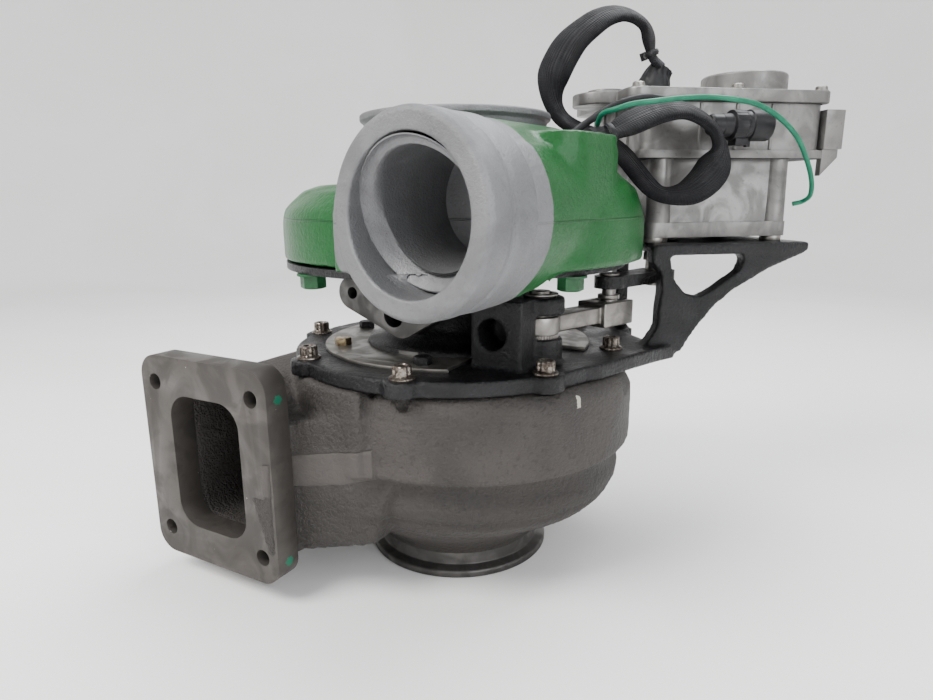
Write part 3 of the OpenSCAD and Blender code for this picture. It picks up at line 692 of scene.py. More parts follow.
def die_cast_finish(colours):
    """Die-cast aluminium: bright with cloudy grey flow marks and small dark specks."""
    made = Finish("die casting", Metallic=0.65)
    stain = made.effect("Mottle", Scale=42.0)
    base = made.blend(stain["Stains"], darker(colours.die_cast, 0.66), colours.die_cast)
    base = made.blend(made.step(made.noise(9.0, 3.0, 0.8), 0.52, 0.72, 0.0, 0.55), base,
                      darker(colours.die_cast, 0.5))
    made.colour(made.blend(made.times(stain["Specks"], 0.4), base,
                           darker(colours.die_cast, 0.4)))
    made.rough(stain["Stains"], 0.5, 0.34)
    return made.bump(stain["Height"], 0.16, 0.5)


def plated_finish(name, low, high, metallic=0.9, scale=150.0, rough=(0.46, 0.3), depth=0.06):
    """Plated or coloured metal with cloudy wear between two tones."""
    made = Finish(name, Metallic=metallic)
    stain = made.effect("Mottle", Scale=scale)
    made.colour(made.blend(stain["Stains"], low, high))
    made.rough(stain["Stains"], *rough)
    return made.bump(stain["Height"], depth, 0.5)


def moulded_finish(name, colour, roughness=0.5, grain=0.05):
    """Moulded plastic or rubber: fine texture with faint dusty patches."""
    made = Finish(name, Specular_IOR_Level=0.25)
    stain = made.effect("Mottle", Scale=70.0)
    dusty = tuple(min(1.0, c * 1.3 + 0.003) for c in colour)
    made.colour(made.blend(stain["Stains"], colour, dusty))
    made.rough(stain["Stains"], roughness + 0.1, roughness - 0.06)
    return made.bump(stain["Height"], grain, 0.6)


def sleeve_finish(colours):
    """Woven sleeve: cross ribs along its length from its UV map, with painted highlight grey on the
    ridges.
    """
    made = Finish("woven sleeve", Specular_IOR_Level=0.16)
    spread = made.node("SeparateXYZ", {0: made.node("UVMap", uv_map="weave")}).node.outputs
    along = made.maths("SINE", made.times(spread[1], 2 * math.pi / 1.6))
    ridges = made.maths("SINE", made.times(spread[0], 2 * math.pi * RIDGES))
    weave = made.times(made.plus(made.times(along, 0.35), ridges), 0.5)
    stain = made.effect("Mottle", Scale=60.0)
    # Painted light of the weave: the ridges get a lighter grey as a painted highlight and the
    # grooves stay darker as painted shade
    base = made.blend(made.step(weave, -0.1, 0.65), colours.sleeve, (0.013, 0.013, 0.015))
    made.colour(made.blend(made.times(stain["Stains"], 0.2), base, (0.02, 0.02, 0.022)))
    made.rough(stain["Stains"], 0.62, 0.48)
    return made.bump(weave, 0.35, 0.8)


EFFECTS = {}
FINISHES = {}


def make_finishes(colours):
    casting_grain()
    mottle()
    tool_marks()
    steel, plated, moulded = steel_finish, plated_finish, moulded_finish
    FINISHES.update({
        "cast_iron": iron_finish(colours),
        "machined_iron": machined_iron_finish(),
        "black_casting": black_finish(colours),
        "machined_steel": steel("machined steel", tuple(colours.steel)),
        "rim_iron": steel("machined iron rim", (0.12, 0.115, 0.11), 0.42, 500.0),
        "pad_steel": steel("machined pad", (0.17, 0.165, 0.16), 0.45, 600.0),
        "green_enamel": enamel_finish(colours),
        "bare_aluminium": blasted_finish(colours),
        "die_cast": die_cast_finish(colours),
        "screw_bronze": plated("screw bronze", (0.06, 0.046, 0.037), (0.25, 0.222, 0.195),
                               scale=260.0, rough=(0.5, 0.26), depth=0.08),
        "brass_bolt": plated("passivated bolt", (0.16, 0.11, 0.065), (0.40, 0.33, 0.2)),
        "bush_bronze": plated("bush bronze", (0.20, 0.13, 0.05), (0.42, 0.30, 0.13)),
        "bolt_green": plated("painted bolt", (0.003, 0.05, 0.012), (0.006, 0.085, 0.022), 0.1),
        "wheel_nickel": steel("wheel nickel", (0.20, 0.18, 0.16), 0.4, 300.0),
        "wheel_aluminium": steel("wheel aluminium", (0.55, 0.56, 0.57), 0.25, 600.0),
        "seal_rubber": moulded("seal rubber", (0.008, 0.008, 0.008), 0.6),
        "red_plastic": moulded("red plug", (0.42, 0.02, 0.012), 0.42),
        "sleeve_black": sleeve_finish(colours),
        "boot_black": moulded("boot rubber", (0.007, 0.007, 0.008), 0.5, 0.12),
        "connector_black": moulded("connector plastic", (0.006, 0.006, 0.007), 0.4),
        "wire_green": moulded("wire insulation", tuple(colours.wire), 0.36),
    })


# ---------- pieces ----------

class PieceOperator:
    """Shared parts of every operator that builds pieces"""
    bl_options = {"REGISTER", "UNDO"}


class TURBO_OT_finishes(PieceOperator, bpy.types.Operator):
    """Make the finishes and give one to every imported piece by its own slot"""
    bl_idname = "turbo.finishes"
    bl_label = "Finishes"

    def execute(self, context):
        make_finishes(context.scene.turbo_colours)
        for row in RECORD["subparts"]:
            paint(frame["nodes"][row["node"]], FINISHES[row["material_slot"]])
        return {"FINISHED"}


class TURBO_OT_stage(PieceOperator, bpy.types.Operator):
    """Make the camera, the lamps and the pale curved floor"""
    bl_idname = "turbo.stage"
    bl_label = "Stage"

    def execute(self, context):
        scene = context.scene
        camera = bpy.data.cameras.new("view")
        camera.sensor_width = 36
        camera.lens = camera.sensor_width * VIEW_FOCAL
        camera.clip_start = 0.01
        scene.camera = placed("view", camera)
        turn = Matrix((VIEW_RIGHT, VIEW_UP, -VIEW_FORWARD)).transposed().to_4x4()
        scene.camera.matrix_world = Matrix.Translation(VIEW_FROM) @ turn
        self.backdrop()
        self.lamp("key", (-0.55, -1.15, 1.5), 0.9, 46, (1.0, 0.985, 0.96))
        self.lamp("fill", (1.3, -0.7, 0.8), 1.2, 14, (0.93, 0.96, 1.0))
        self.lamp("top", (0.2, 0.5, 1.6), 1.2, 34, (0.96, 0.98, 1.0))
        scene.world = bpy.data.worlds.new("studio")
        scene.world.use_nodes = True
        shader = scene.world.node_tree.nodes["Background"]
        shader.inputs[0].default_value = (0.93, 0.95, 1.0, 1.0)
        shader.inputs[1].default_value = 0.72
        return {"FINISHED"}

    def backdrop(self):
        """A wide disc that curls up into a wall all round: rows of radius and height."""
        curl = np.linspace(0, 1, 14) * np.pi / 2
        profile = np.concatenate([
            [[0, 0], [900, 0], [1800, 0]],
            np.stack([1800 + 900 * np.sin(curl), 900 - 900 * np.cos(curl)], axis=-1),
            [[2700, 3200]]])
        points, faces = turned(profile, 64, closed=False)
        floor = weld(new_piece("floor", (points - np.array([0, 0, 0.4]), faces)), 1e-5)
        floor.data.flip_normals()
        made = Finish("backdrop", Roughness=0.85)
        stain = made.effect("Mottle", Scale=1.6)
        made.colour(made.blend(stain["Stains"], (0.86, 0.85, 0.835), (0.89, 0.885, 0.88)))
        paint(shade(floor, None), made.material)

    def lamp(self, name, place, size, power, colour):
        data = bpy.data.lights.new(name, "AREA")
        data.shape = "DISK"
        data.size = size
        data.energy = power
        data.color = colour
        lamp = placed(name, data)
        lamp.location = place
        aim = Vector((0.03, -0.01, 0.2)) - Vector(place)
        lamp.rotation_euler = aim.to_track_quat("-Z", "Y").to_euler()


class TURBO_OT_harness(PieceOperator, bpy.types.Operator):
    """Make the ribbed sleeve, its boot and ties, the lead, the connector and the green wire"""
    bl_idname = "turbo.harness"
    bl_label = "Harness"

    def execute(self, context):
        sizes = context.scene.turbo_sizes
        sleeve = self.sleeve(sizes)
        on_sleeve = [self.ties(), self.boot()]
        lead, lead_path = self.round_cord("lead", LEAD_ROUTE, sizes.lead_width, "sleeve_black",
                                          "connector_lead", "boot_black")
        connector = self.connector()
        wire, wire_path = self.round_cord("loose_wire", WIRE_ROUTE, sizes.wire_width,
                                          "wire_green", "ground_wire")
        return {"FINISHED"}

    def sleeve(self, sizes):
        """Flat section, an ellipse raised to a squarer power, with ridges as a cosine of the
        angle, carried along the route; it necks down where each tie grips it."""
        path = smooth_path(SLEEVE_ROUTE)
        sides = RIDGES * 4
        angle = round_angles(sides)
        axes = np.stack([np.cos(angle), np.sin(angle)], axis=-1)
        half = np.array([sizes.sleeve_width / MM / 2, sizes.sleeve_thickness / MM / 2])
        section = half * np.sign(axes) * np.abs(axes) ** 0.72
        section = section * (1 + 0.022 * np.cos(RIDGES * angle))[:, None]
        run = distances(path)
        first, last = TIE_INSET
        neck = 1 - 0.34 * np.exp(-((run - first) / 8) ** 2) - 0.3 * np.exp(
            -((run - run[-1] + last) / 8) ** 2)
        neck *= 0.8 + 0.2 * ramp(run, 0, 12)
        points, faces = sweep(path, section, SLEEVE_FACING, neck)
        piece = new_piece("harness_sleeve_woven", (points, faces))
        rows = np.concatenate([[0], run, [run[-1]]])
        i, j = np.divmod(np.arange(len(faces)), sides)
        u = np.stack([j, j + 1, j + 1, j], axis=-1) / sides
        v = np.stack([rows[i], rows[i], rows[i + 1], rows[i + 1]], axis=-1)
        spread = piece.data.uv_layers.new(name="weave")
        spread.data.foreach_set("uv", np.stack([u, v], axis=-1).ravel())
        return hand_over(shade(weld(piece), None), "sleeve_black", "harness_sleeve")

    def ties(self):
        """Two cable ties: a flat band as a closed loop round the neck, and a small lock box."""
        path = smooth_path(SLEEVE_ROUTE)
        run = distances(path)
        along, wide, _ = path_axes(path, SLEEVE_FACING)
        parts = []
        for place in (TIE_INSET[0], run[-1] - TIE_INSET[1]):
            k = int(np.argmin(np.abs(run - place)))
            shape = basis(along[k], wide[k])
            for half, depth in ((2.2, 0.0), (1.2, 0.7)):
                ring = eased([[1, -half], [1.16, -half], [1.16, half], [1, half]], 0.3, 3)
                points, faces = turned(ring * [7.1 + depth, 1], 40)
                parts.append((path[k] + points * np.array([1.0, 0.62, 1.0]) @ shape, faces))
            lock = eased([[0, -3], [3.4, -3], [3.4, 3], [0, 3]], 0.6, 3)
            parts.append(turned(lock, 4, closed=False, origin=path[k] + 5.6 * shape[1],
                                z=shape[2], x=shape[0] + shape[1]))
        return hand_over(shell("cable_ties_banded", *parts), "connector_black", "cable_ties")

    def boot(self):
        """Rubber boot: round rings blended along a bend, with lengthwise folds that deepen
        towards the neck."""
        base = np.array([119.0, 99.0, 354.0])
        path = smooth_path([base, base + [1, 1, 7], base + [3, 2.5, 14], SLEEVE_ROUTE[0]], 6)
        share = np.linspace(0, 1, len(path))
        angle = round_angles(96)
        radius = 13.2 - 4.6 * ramp(share, 0.15, 1.0)
        folds = 1 + 0.05 * ramp(share, 0.2, 0.9)[:, None] * np.cos(12 * angle)[None]
        points = rings(path, radius[:, None] * folds, SLEEVE_FACING, angle)
        points = np.concatenate([np.repeat(path[:1, None], 96, axis=1), points,
                                 np.repeat(path[-1:, None], 96, axis=1)])
        piece = shell("harness_boot_folded", (points.reshape(-1, 3), grid_faces(len(points), 96)),
                      sharp=50)
        return hand_over(piece, "sleeve_black", "harness_boot", finish="boot_black")

    def round_cord(self, name, route, width, slot, node, finish=None):
        """A round section carried along the smoothed route."""
        path = smooth_path(route, 6)
        angle = round_angles(16)
        section = width / MM / 2 * np.stack([np.cos(angle), np.sin(angle)], axis=-1)
        piece = shell(name, sweep(path, section, UP), sharp=None)
        return hand_over(piece, slot, node, finish=finish), path * MM

    def connector(self):
        """Stepped round shell with grip ribs, a mating collar and a latch on its side."""
        outline = eased([[0, 0], [6.5, 0], [7.6, 2], [7.6, 9], [8, 9.5], [8, 16], [10.6, 16.6],
                         [10.6, 26], [9.8, 26.5], [9.8, 30], [11, 30.5], [11, 45.4], [10.2, 46],
                         [8.6, 46], [8.6, 36], [0, 36]], 0.5, 3, closed=False)
        ribs = np.where((outline[:, 1] > 17) & (outline[:, 1] < 25.8), 1.0, 0.0)
        parts = [turned(outline, 96, closed=False, origin=CONNECTOR_BASE, z=ALONG, x=UP,
                        waist=lambda a: 1 - 0.03 * (np.cos(16 * a) > 0), share=ribs)]
        for along, out, half in ((24.0, 11.6, 7.0), (31.0, 12.6, 2.2)):
            lug = eased([[0, -2.4], [half, -2.4], [half, 2.4], [0, 2.4]], 0.5, 3)
            parts.append(turned(lug, 4, closed=False, x=ALONG + BACK,
                                origin=CONNECTOR_BASE + ALONG * along + np.array([0, 0, -out])))
        return hand_over(shell("harness_connector_shell", *parts, sharp=30), "connector_black",
                         "harness_connector")


class TURBO_OT_turbine_housing(PieceOperator, bpy.types.Operator):
    """Make the sand-cast turbine scroll, its machined inlet flange and its outlet rim"""
    bl_idname = "turbo.turbine_housing"
    bl_label = "Turbine Housing"

    def execute(self, context):
        scroll = blended_copy("turbine_housing", "turbine_scroll",
                              context.scene.turbo_sizes.scroll_voxel, 4, 0.8, 3.5)
        points, normals = coordinates(scroll)
        radius = np.hypot(points[:, 0], points[:, 1])
        # The skin is let in where the flange's face and the rim stand in front of it
        flange = ramp(points[:, 1], -133.5, -136.5)
        neck = ramp(points[:, 2], 19, 14) * (radius < 90)
        points -= normals * (1.1 * np.maximum(flange, neck))[:, None]
        self.step_under_band(points, normals, radius)
        self.cheek_pads(points, normals)
        move_to(scroll, points)
        hand_over(scroll, "cast_iron", "turbine_housing")
        hand_over(near_part("turbine_housing", "turbine_inlet_flange", -135.9, 0.9), "cast_iron",
                  finish="machined_iron")
        ring = eased([[60, 0.02], [72, 0.02], [72, 4], [71, 5.2], [65.4, 7.6], [65.4, 17],
                      [62.5, 19], [57.5, 17], [60, 12]], 0.7, 4)
        hand_over(shell("turbine_outlet_rim", turned(ring, 192)), "cast_iron", finish="rim_iron")
        return {"FINISHED"}

    def step_under_band(self, points, normals, radius):
        """Draws the scroll in under its upper band: a sharp overhang, a hollow and a bulge."""
        x, y, z = points.T
        outer = (radius > 96) & ((normals[:, :2] * points[:, :2]).sum(axis=1) > 0)
        front = ramp(x, -14, 10) + ramp(y, -60, 20)
        drawn = (7.5 * ramp(z, 97.5, 95) * ramp(z, 52, 84)
                 - 2.0 * np.exp(-((z - 76) / 7) ** 2)
                 + 3.0 * ramp(z, 67, 65) * ramp(z, 44, 58))
        shift = outer * np.clip(front, 0, 1) * np.maximum(drawn, 0)
        points[:, :2] -= points[:, :2] / radius[:, None] * shift[:, None]

    def cheek_pads(self, points, normals):
        """Two flat pads proud of the duct's side, the upper one further than the lower."""
        x, y, z = points.T
        wall = np.clip(-normals[:, 1] * 2 - 0.6, 0, 1) * (y < -108)
        level = z - 0.18 * (x + 62)
        upper = (ramp(x, -64, -62) * ramp(x, 8, 5) * ramp(level, 81, 83)
                 * ramp(level, 107, 105))
        left, right = -61 - 0.3 * (level - 36), 3 + 0.42 * (level - 40)
        lower = (ramp(x - left, 0, 2) * ramp(x - right, 0, -2) * ramp(level, 38, 40)
                 * ramp(level, 82, 81))
        points[:, 1] -= wall * np.maximum(2.6 * upper, 1.7 * lower)


def screw_set(name, head, waist, places, turns=72):
    """One head turned and set down at each place (x, y, z) with its point up. Its rows are
    radius, height and, where the waist shapes them, how far it does."""
    profile = np.array([row[:2] for row in head])
    share = [row[2] if len(row) > 2 else 0 for row in head]
    return shell(name, *[turned(profile, turns, closed=False, origin=place, waist=waist,
                                share=share) for place in places], sharp=25)


def ring_places(radius, angles, height):
    turn = np.radians(np.asarray(angles, float))
    return np.stack([radius * np.cos(turn), radius * np.sin(turn),
                     np.full(len(turn), float(height))], axis=-1)


class TURBO_OT_fasteners(PieceOperator, bpy.types.Operator):
    """Make the twelve-point flange screws, the disc bolts and the painted compressor bolts"""
    bl_idname = "turbo.fasteners"
    bl_label = "Fasteners"

    def execute(self, context):
        self.flange_screws()
        self.disc_bolts()
        self.compressor_bolts()
        self.cover_screws()
        return {"FINISHED"}

    def flange_screws(self):
        """Washer cone under a twelve-point head with a dished top."""
        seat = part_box("housing_screws")[1][2] / MM - 9
        head = [[0, -12], [4, -12], [4, 0], [8.4, 0], [8.5, 0.4], [8.3, 1.3], [6.2, 2.3, 0.3],
                [5.5, 2.7, 1], [5.5, 8.1, 1], [5.1, 8.9, 0.5], [3.9, 9], [3.2, 8.2], [0, 7.9]]
        piece = screw_set("flange_screws", head, twelve_point,
                          ring_places(120, [-77 + 45 * i for i in range(8)], seat))
        hand_over(piece, "screw_bronze", "housing_screws")

    def disc_bolts(self):
        """Hexagon heads with a turned-off corner at the top."""
        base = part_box("disc_bolts")[1][2] / MM - 5.5
        head = [[0, -12], [3.4, -12], [3.4, -0.02], [5.45, -0.02, 0.7], [5.5, 0.3, 1],
                [5.5, 4.7, 1], [5.35, 5.4, 0.25], [0, 5.5]]
        front = screw_set("disc_bolts_front", head, hexagon, ring_places(90, [-135], base))
        hand_over(front, "brass_bolt", "disc_bolts")
        rest = screw_set("disc_bolts_rest", head, hexagon,
                         ring_places(90, [-75, 60, 120, 180], base))
        hand_over(rest, "brass_bolt", finish="black_casting")

    def compressor_bolts(self):
        """Hexagon heads pointing down, each over a round washer; none beside the drive pin."""
        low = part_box("compressor_bolts")[0][2] / MM
        head = [[0, 0], [6.6, 0, 0.2], [7.5, 0.7, 1], [7.5, 8.5, 1], [10.3, 8.5], [10.5, 8.8],
                [10.4, 10], [4, 10], [4, 14], [0, 14]]
        places = ring_places(120.5, [-23 + 45 * i for i in (0, 2, 3, 4, 5, 6, 7)], low)
        hand_over(screw_set("compressor_flange_bolts", head, hexagon, places), "green_enamel",
                  "compressor_bolts", finish="bolt_green")

    def cover_screws(self):
        """Low pan heads with six lobes pressed into the top."""
        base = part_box("cover_screws")[0][2] / MM
        head = [[0, 0], [5, 0], [5, 0.8], [4.4, 1.2], [4.3, 3.1], [3.6, 3.8], [2.3, 3.8, 0.6],
                [2.2, 1.9, 0.6], [0, 1.9]]
        spots = [ALONG * x + BACK * y + UP * base for x, y in (
            (128, -34), (205, -36), (276, -34), (276, 70), (205, 72), (128, 70))]
        piece = screw_set("cover_screw_heads", head, lambda a: 1 + 0.18 * np.cos(6 * a), spots,
                          48)
        hand_over(piece, "machined_steel", "cover_screws")


class TURBO_OT_centre(PieceOperator, bpy.types.Operator):
    """Make the black bracket casting, the bearing housing, the disc and the backplate"""
    bl_idname = "turbo.centre"
    bl_label = "Centre Housing and Bracket"

    def execute(self, context):
        voxel = context.scene.turbo_sizes.bracket_voxel
        hand_over(blended_copy("support_flange", "bracket_casting", voxel, 4, 0.35, 3),
                  "black_casting", "support_flange")
        core = blended_copy("bearing_housing", "bearing_casting", voxel, 4, 0.3, 3)
        points, normals = coordinates(core)
        points -= normals * (0.9 * ramp(points[:, 1], -68.5, -70.5))[:, None]
        move_to(core, points)
        hand_over(core, "black_casting", "bearing_housing")
        hand_over(near_part("bearing_housing", "oil_pad_face", -69.5, 0.7), "black_casting",
                  finish="pad_steel")
        for node, name, width, slot in (
                ("cover_disc", "cover_disc_turned", 0.5, "machined_steel"),
                ("compressor_backplate", "compressor_backplate_edge", 0.6, "black_casting")):
            hand_over(crisp_copy(node, name, width), slot, node)
        return {"FINISHED"}


class TURBO_OT_compressor_housing(PieceOperator, bpy.types.Operator):
    """Make the enamelled scroll, its blasted discharge end, its inlet ring and its plug"""
    bl_idname = "turbo.compressor_housing"
    bl_label = "Compressor Housing"

    def execute(self, context):
        scroll = blended_copy("compressor_housing", "compressor_scroll",
                              context.scene.turbo_sizes.scroll_voxel, 7, 0.35, 6)
        points, normals = coordinates(scroll)
        depth = (points - DISCHARGE) @ -DISCHARGE_OUT
        sink = np.maximum(ramp(depth, 44, 38), ramp(points[:, 2], 305, 309))
        # The flange's ledge inside the duct goes down to the level of the backplate
        from_axis = np.linalg.norm(np.cross(points - DISCHARGE, DISCHARGE_OUT), axis=1)
        ledge = (from_axis < 43.2) & (depth > 10) & (depth < 110) & (points[:, 2] < 256)
        points[ledge, 2] = np.minimum(points[ledge, 2], 234.6)
        points -= normals * sink[:, None]
        move_to(scroll, points)
        hand_over(scroll, "green_enamel", "compressor_housing")
        self.discharge_end()
        self.volute_wall()
        self.inlet_ring()
        self.plug()
        return {"FINISHED"}

    def discharge_end(self):
        """Thick tube with a rounded bead at its mouth, a groove behind it and a low parting
        ridge at both sides: radius grows by a narrow bell about the level plane."""
        ring = eased([[44, 1.2], [45.2, 0], [54.6, 0], [57.3, 3], [57.3, 18], [55.6, 21],
                      [55.2, 23], [56.6, 25.5], [56.8, 42], [54.5, 47], [44.4, 44], [44, 20]],
                     1.6, 5)
        tube = turned(ring, 256, waist=lambda a: 1 + 0.008 * np.exp(-(np.sin(a) / 0.022) ** 2),
                      share=np.where(ring[:, 0] > 55, 1.0, 0.0), origin=DISCHARGE,
                      z=-DISCHARGE_OUT, x=(DISCHARGE_OUT[1], -DISCHARGE_OUT[0], 0))
        hand_over(shell("discharge_end", tube, sharp=50), "green_enamel",
                  finish="bare_aluminium")

    def volute_wall(self):
        """Thin wall of the inner passage: a ring carried from the mouth's bore along the duct
        while its radius falls, then back at a greater radius."""
        depth = np.linspace(12, 100, 19)[:, None]
        rise = (4 * ramp(depth, 10, 26) + 5 * ramp(depth, 26, 90)) * UP
        end = np.array([[74, -38, 275], [77, -22, 273], [76, -8, 271]])
        path = smooth_path(np.concatenate([DISCHARGE - DISCHARGE_OUT * depth + rise, end]), 5)
        run = 12 + np.linspace(0, path_length(path), len(path))
        radius = (43.9 - 7.7 * ramp(run, 10, 26) - 3 * ramp(run, 26, 90)
                  - 32.5 * ramp(run, 118, run[-1]))[:, None]
        angle = round_angles(72)
        points = np.concatenate([rings(path, radius, UP, angle),
                                 rings(path, radius + 0.8, UP, angle)[::-1]])
        wall = (points.reshape(-1, 3), grid_faces(len(points), 72, wrap_rows=True))
        hand_over(shell("volute_wall", wall, sharp=60), "green_enamel", finish="bare_aluminium")

    def inlet_ring(self):
        """Turned hose end: neck, bead and a bored mouth, its rows measured down from the top."""
        ring = np.array([[62, 18], [62, 1.2], [63, 0], [69.4, 0], [70.3, 1], [70.3, 4.4],
                         [67.6, 6.4], [66.2, 16], [67.6, 28], [64, 31], [57, 20.5]])
        ring = eased([0, RIM_TOP] + ring * [1, -1], 0.9, 4)
        hand_over(shell("inlet_hose_end", turned(ring, 192), sharp=40), "green_enamel",
                  finish="bare_aluminium")

    def plug(self):
        """Push-in cap: a shank under a domed head with a finger ring round it."""
        low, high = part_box("port_cap")
        x, y = (low[0] + high[0]) / 2 / MM, (low[1] + high[1]) / 2 / MM
        head = eased([[0, 0], [5, 0], [5, 24.6], [6.5, 25.2], [6.5, 27.8], [5.4, 29.2],
                      [2, 30], [0, 30]], 0.5, 3, closed=False)
        piece = shell("port_plug", turned(head, 48, closed=False, origin=(x, y, low[2] / MM)))
        hand_over(piece, "red_plastic", "port_cap")


class TURBO_OT_actuator(PieceOperator, bpy.types.Operator):
    """Make the die-cast actuator housings with their ribs, gaskets and motor can"""
    bl_idname = "turbo.actuator"
    bl_label = "Actuator"

    def execute(self, context):
        for node, name, width in (("actuator_lower_housing", "actuator_base_casting", 1.2),
                                  ("actuator_mid_housing", "actuator_gear_casting", 1.4),
                                  ("actuator_cover", "actuator_cover_casting", 1.2),
                                  ("side_block", "actuator_side_block", 1.0)):
            hand_over(crisp_copy(node, name, width, 3), "die_cast", node)
        self.motor_can()
        self.gaskets()
        self.ribs()
        hand_over(crisp_copy("actuator_spacers", "actuator_feet", 0.4), "machined_steel",
                  "actuator_spacers")
        return {"FINISHED"}

    def motor_can(self):
        """Drawn can: straight wall, rolled edge and a faintly dished lid."""
        base, top = (corner[2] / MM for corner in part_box("motor_can"))
        r = 33.0
        wall = eased([[0, base], [r, base], [r, base + 1.5], [r - 0.7, base + 2.5],
                      [r - 0.7, top - 1.4], [r - 2, top], [r - 5, top], [r - 6, top - 0.7],
                      [0, top - 0.9]], 0.6, 3, closed=False)
        can = turned(wall, closed=False, origin=ALONG * 232)
        hand_over(shell("motor_can_drawn", can, sharp=40), "die_cast", "motor_can")

    def slab(self, x0, x1, y0, y1, z0, z1, corner, ease=0.3):
        """Rounded plate: one outline stacked at four levels, drawn in at the outer two."""
        quarter = np.linspace(0, np.pi / 2, 7)
        corners = [(x1, y1, 0), (x0, y1, 1), (x0, y0, 2), (x1, y0, 3)]
        ring = np.concatenate([np.stack([
            x + np.sign((x0 + x1) / 2 - x) * corner + corner * np.cos(quarter + k * np.pi / 2),
            y + np.sign((y0 + y1) / 2 - y) * corner + corner * np.sin(quarter + k * np.pi / 2)],
            axis=-1) for x, y, k in corners])
        middle = np.array([(x0 + x1) / 2, (y0 + y1) / 2])
        inward = unit(middle - ring) * ease
        levels = [(middle + 0 * ring, z0), (ring + inward, z0), (ring, z0 + ease),
                  (ring, z1 - ease), (ring + inward, z1), (middle + 0 * ring, z1)]
        points = np.concatenate([xy[:, :1] * ALONG + xy[:, 1:] * BACK + np.array([0, 0, z])
                                 for xy, z in levels])
        return points, grid_faces(len(levels), len(ring))

    def gaskets(self):
        """Dark seal lines where the housings meet, a little inside their edges' outline."""
        parts = [self.slab(130.1, 281.9, -39.9, 75.9, 304.7, 305.3, 8, 0.1),
                 self.slab(132.2, 280.6, -38.7, 74.7, 344.6, 345.2, 12, 0.1)]
        hand_over(shell("actuator_gaskets", *parts, sharp=30), "seal_rubber")

    def ribs(self):
        """Corner pillars and stiffening ribs standing proud of the housings' walls."""
        parts = [turned([[0, 258], [9.4, 258], [8.6, 304.6], [0, 304.6]], 40, closed=False,
                        origin=ALONG * x + BACK * y)
                 for x in (150.5, 246.5) for y in (-29.5, 65.5)]
        parts += [self.slab(x - 1.4, x + 1.4, -39.2, -34, 311, 344, 1.2, 0.5)
                  for x in (176, 205, 234)]
        parts += [self.slab(131.6, 136, y - 1.4, y + 1.4, 311, 344, 1.2, 0.5)
                  for y in (-8, 16, 40)]
        hand_over(shell("actuator_ribs", *parts, sharp=30), "die_cast")


class TURBO_OT_linkage(PieceOperator, bpy.types.Operator):
    """Make the control lever, its shaft bush, the arm, the pin and the inner linkage"""
    bl_idname = "turbo.linkage"
    bl_label = "Linkage"

    def execute(self, context):
        steel, lever, arm = "machined_steel", "control_lever_body", "actuator_arm_body"
        for node, ending, width, slot, body in (
                ("control_lever", "forged", 1.1, steel, lever),
                ("actuator_arm", "forged", 1.2, "black_casting", arm),
                ("drive_pin", "turned", 0.5, steel, arm),
                ("upper_bush", "turned", 0.4, steel, BODY),
                ("lever_shaft", "turned", 0.4, steel, lever),
                ("unison_ring", "cut", 0.4, steel, "unison_ring_body")):
            hand_over(crisp_copy(node, f"{node}_{ending}", width), slot, node, body=body)
        self.serrations()
        return {"FINISHED"}

    def serrations(self):
        """Toothed collar under the lever: a ring whose outer radius steps in and out."""
        x, y = (np.array(JOINTS["lever_turn"]["pos_m"]) / MM)[:2]
        ring = eased([[10.2, 184.1], [13.2, 184.1], [13.2, 186.9], [10.2, 186.9]], 0.3, 2)
        collar = turned(ring, 240, waist=lambda a: 1 - 0.045 * (np.cos(40 * a) > 0),
                        share=np.where(ring[:, 0] > 12.5, 1.0, 0.0), origin=(x, y, 0))
        hand_over(shell("lever_serrations", collar), "machined_steel", body="control_lever_body")


def blade_set(count, hub, shroud, wrap, thick, phase=0.0):
    """Blades between two (radius, height) curves: each point turns on by wrap times its share
    of the way along the curve to the power 1.6, and stands half a thickness to either side."""
    hub, shroud = (smooth_path(np.c_[curve, np.zeros(len(curve))], 6)[:, :2]
                   for curve in (hub, shroud))
    across = np.linspace(0, 1, 7)[:, None, None]
    surface = hub[None] * (1 - across) + shroud[None] * across
    along = np.linspace(0, 1, len(hub))[None]
    camber = np.radians(wrap) * along ** 1.6 + 0 * across[..., 0]
    half = thick / 2 * (1.25 - 0.6 * across[..., 0]) * np.sqrt(
        np.clip(np.sin(np.pi * np.clip(along, 0.015, 0.985)), 0.05, 1))
    r, z = surface[..., 0], surface[..., 1]
    parts = []
    for turn in np.radians(phase) + np.arange(count) * 2 * np.pi / count:
        sides = []
        for sign in (1, -1):
            angle = turn + camber + sign * half / r
            sides.append(np.stack([r * np.cos(angle), r * np.sin(angle), z], axis=-1))
        loop = np.concatenate([sides[0], sides[1][:, ::-1]], axis=1)
        # The root closes on one point, and the tip on its own middle line
        root = np.broadcast_to(loop[:1].mean(axis=1, keepdims=True), loop[:1].shape)
        ends = (sides[0][-1] + sides[1][-1]) / 2
        loop = np.concatenate([root, loop, np.concatenate([ends, ends[::-1]])[None]])
        parts.append((loop.reshape(-1, 3), grid_faces(*loop.shape[:2])))
    return parts


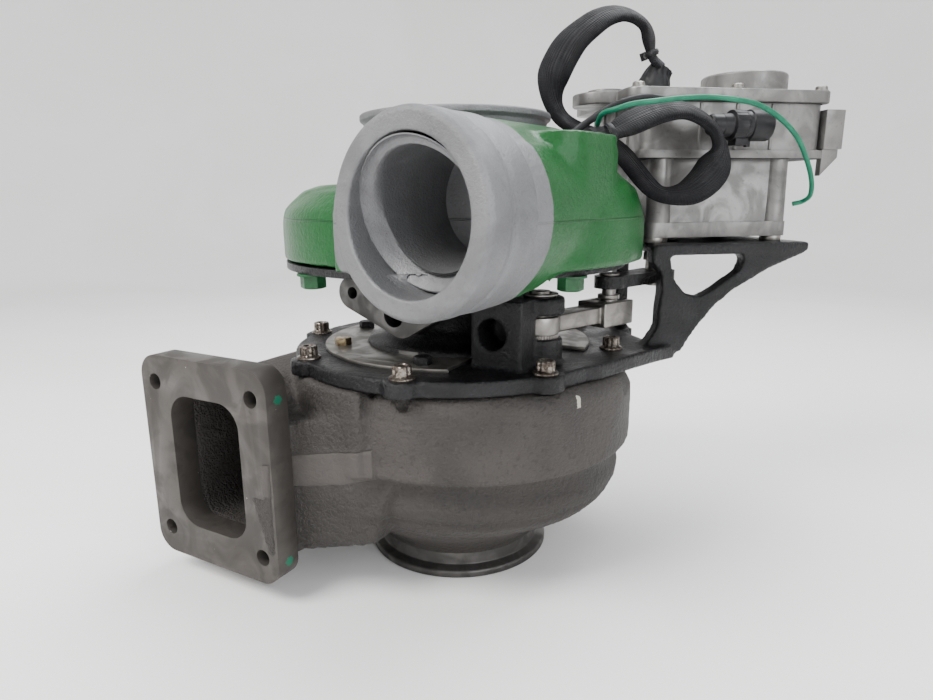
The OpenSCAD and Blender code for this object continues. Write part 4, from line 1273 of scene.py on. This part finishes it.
class TURBO_OT_wheels(PieceOperator, bpy.types.Operator):
    """Make the compressor and turbine wheels with their curved blades"""
    bl_idname = "turbo.wheels"
    bl_label = "Wheels"

    def execute(self, context):
        self.compressor_wheel()
        self.turbine_wheel()
        hand_over(crisp_copy("rotor_locknut", "rotor_locknut_faced", 0.4), "machined_steel",
                  "rotor_locknut", body="rotor")
        return {"FINISHED"}

    def compressor_wheel(self):
        """Hub in one turned profile, with seven long blades and seven short ones between."""
        lift = np.array([0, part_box("compressor_wheel")[0][2] / MM])
        curve = np.array([[16, 62], [17.5, 49], [23, 32], [33, 18], [48, 7.5], [65.5, 3]])
        tip = np.array([[47.4, 61], [47.8, 48], [50, 36], [54, 26], [60, 16], [66, 7.5]])
        hub = np.concatenate([[[0, 67], [14, 67], [15.5, 66]], curve,
                              [[66.5, 1.5], [66, 0], [6.05, 0], [0, 0]]])
        parts = [turned(hub + lift, closed=False),
                 *blade_set(7, curve + lift, tip + lift, 52, 1.5),
                 *blade_set(7, curve[1:] + lift, tip[1:] + lift, 40, 1.3, 34.0)]
        hand_over(shell("compressor_wheel_bladed", *parts, sharp=35), "wheel_aluminium",
                  "compressor_wheel", body="rotor")

    def turbine_wheel(self):
        """Hub, back disc and shaft in one turned profile, with eleven curved blades."""
        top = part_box("turbine_wheel")[1][2] / MM
        curve = np.array([[12.5, 84], [15, 97], [20, 109], [29, 119], [42.5, 126.5]])
        tip = np.array([[40.2, 83], [40.4, 91], [41.5, 99], [43.4, 107], [44.7, 114]])
        profile = np.concatenate([[[0, 76.2], [8, 76.6], [10, 79]], curve,
                                  [[44, 128], [44, 129.5], [14, 131], [14, 150], [10, 152],
                                   [10, 210], [6, 210.1], [6, top], [0, top]]])
        parts = [turned(profile, 96, closed=False), *blade_set(11, curve, tip, -48, 2.2)]
        hand_over(shell("turbine_wheel_bladed", *parts, sharp=35), "wheel_nickel",
                  "turbine_wheel", body="rotor")


OPERATORS = (TURBO_OT_finishes, TURBO_OT_stage, TURBO_OT_harness, TURBO_OT_turbine_housing,
             TURBO_OT_fasteners, TURBO_OT_centre, TURBO_OT_compressor_housing,
             TURBO_OT_actuator, TURBO_OT_linkage, TURBO_OT_wheels)


class TURBO_PT_builder(bpy.types.Panel):
    """Lists the operators and settings of the turbocharger"""
    bl_idname = "TURBO_PT_builder"
    bl_label = "Turbocharger"
    bl_space_type = "VIEW_3D"
    bl_region_type = "UI"
    bl_category = "Turbocharger"

    def draw(self, context):
        for made in OPERATORS:
            self.layout.operator(made.bl_idname)
        for group in (context.scene.turbo_sizes, context.scene.turbo_colours):
            box = self.layout.box()
            for name in group.__annotations__:
                box.prop(group, name)


CLASSES = (TurboSizes, TurboColours, *OPERATORS, TURBO_PT_builder)


def register():
    for made in CLASSES:
        bpy.utils.register_class(made)
    bpy.types.Scene.turbo_sizes = bpy.props.PointerProperty(type=TurboSizes)
    bpy.types.Scene.turbo_colours = bpy.props.PointerProperty(type=TurboColours)


def unregister():
    del bpy.types.Scene.turbo_colours
    del bpy.types.Scene.turbo_sizes
    for made in reversed(CLASSES):
        bpy.utils.unregister_class(made)


def main():
    register()
    for made in OPERATORS:
        group, call = made.bl_idname.split(".")
        getattr(getattr(bpy.ops, group), call)()


if __name__ == "__main__":
    main()
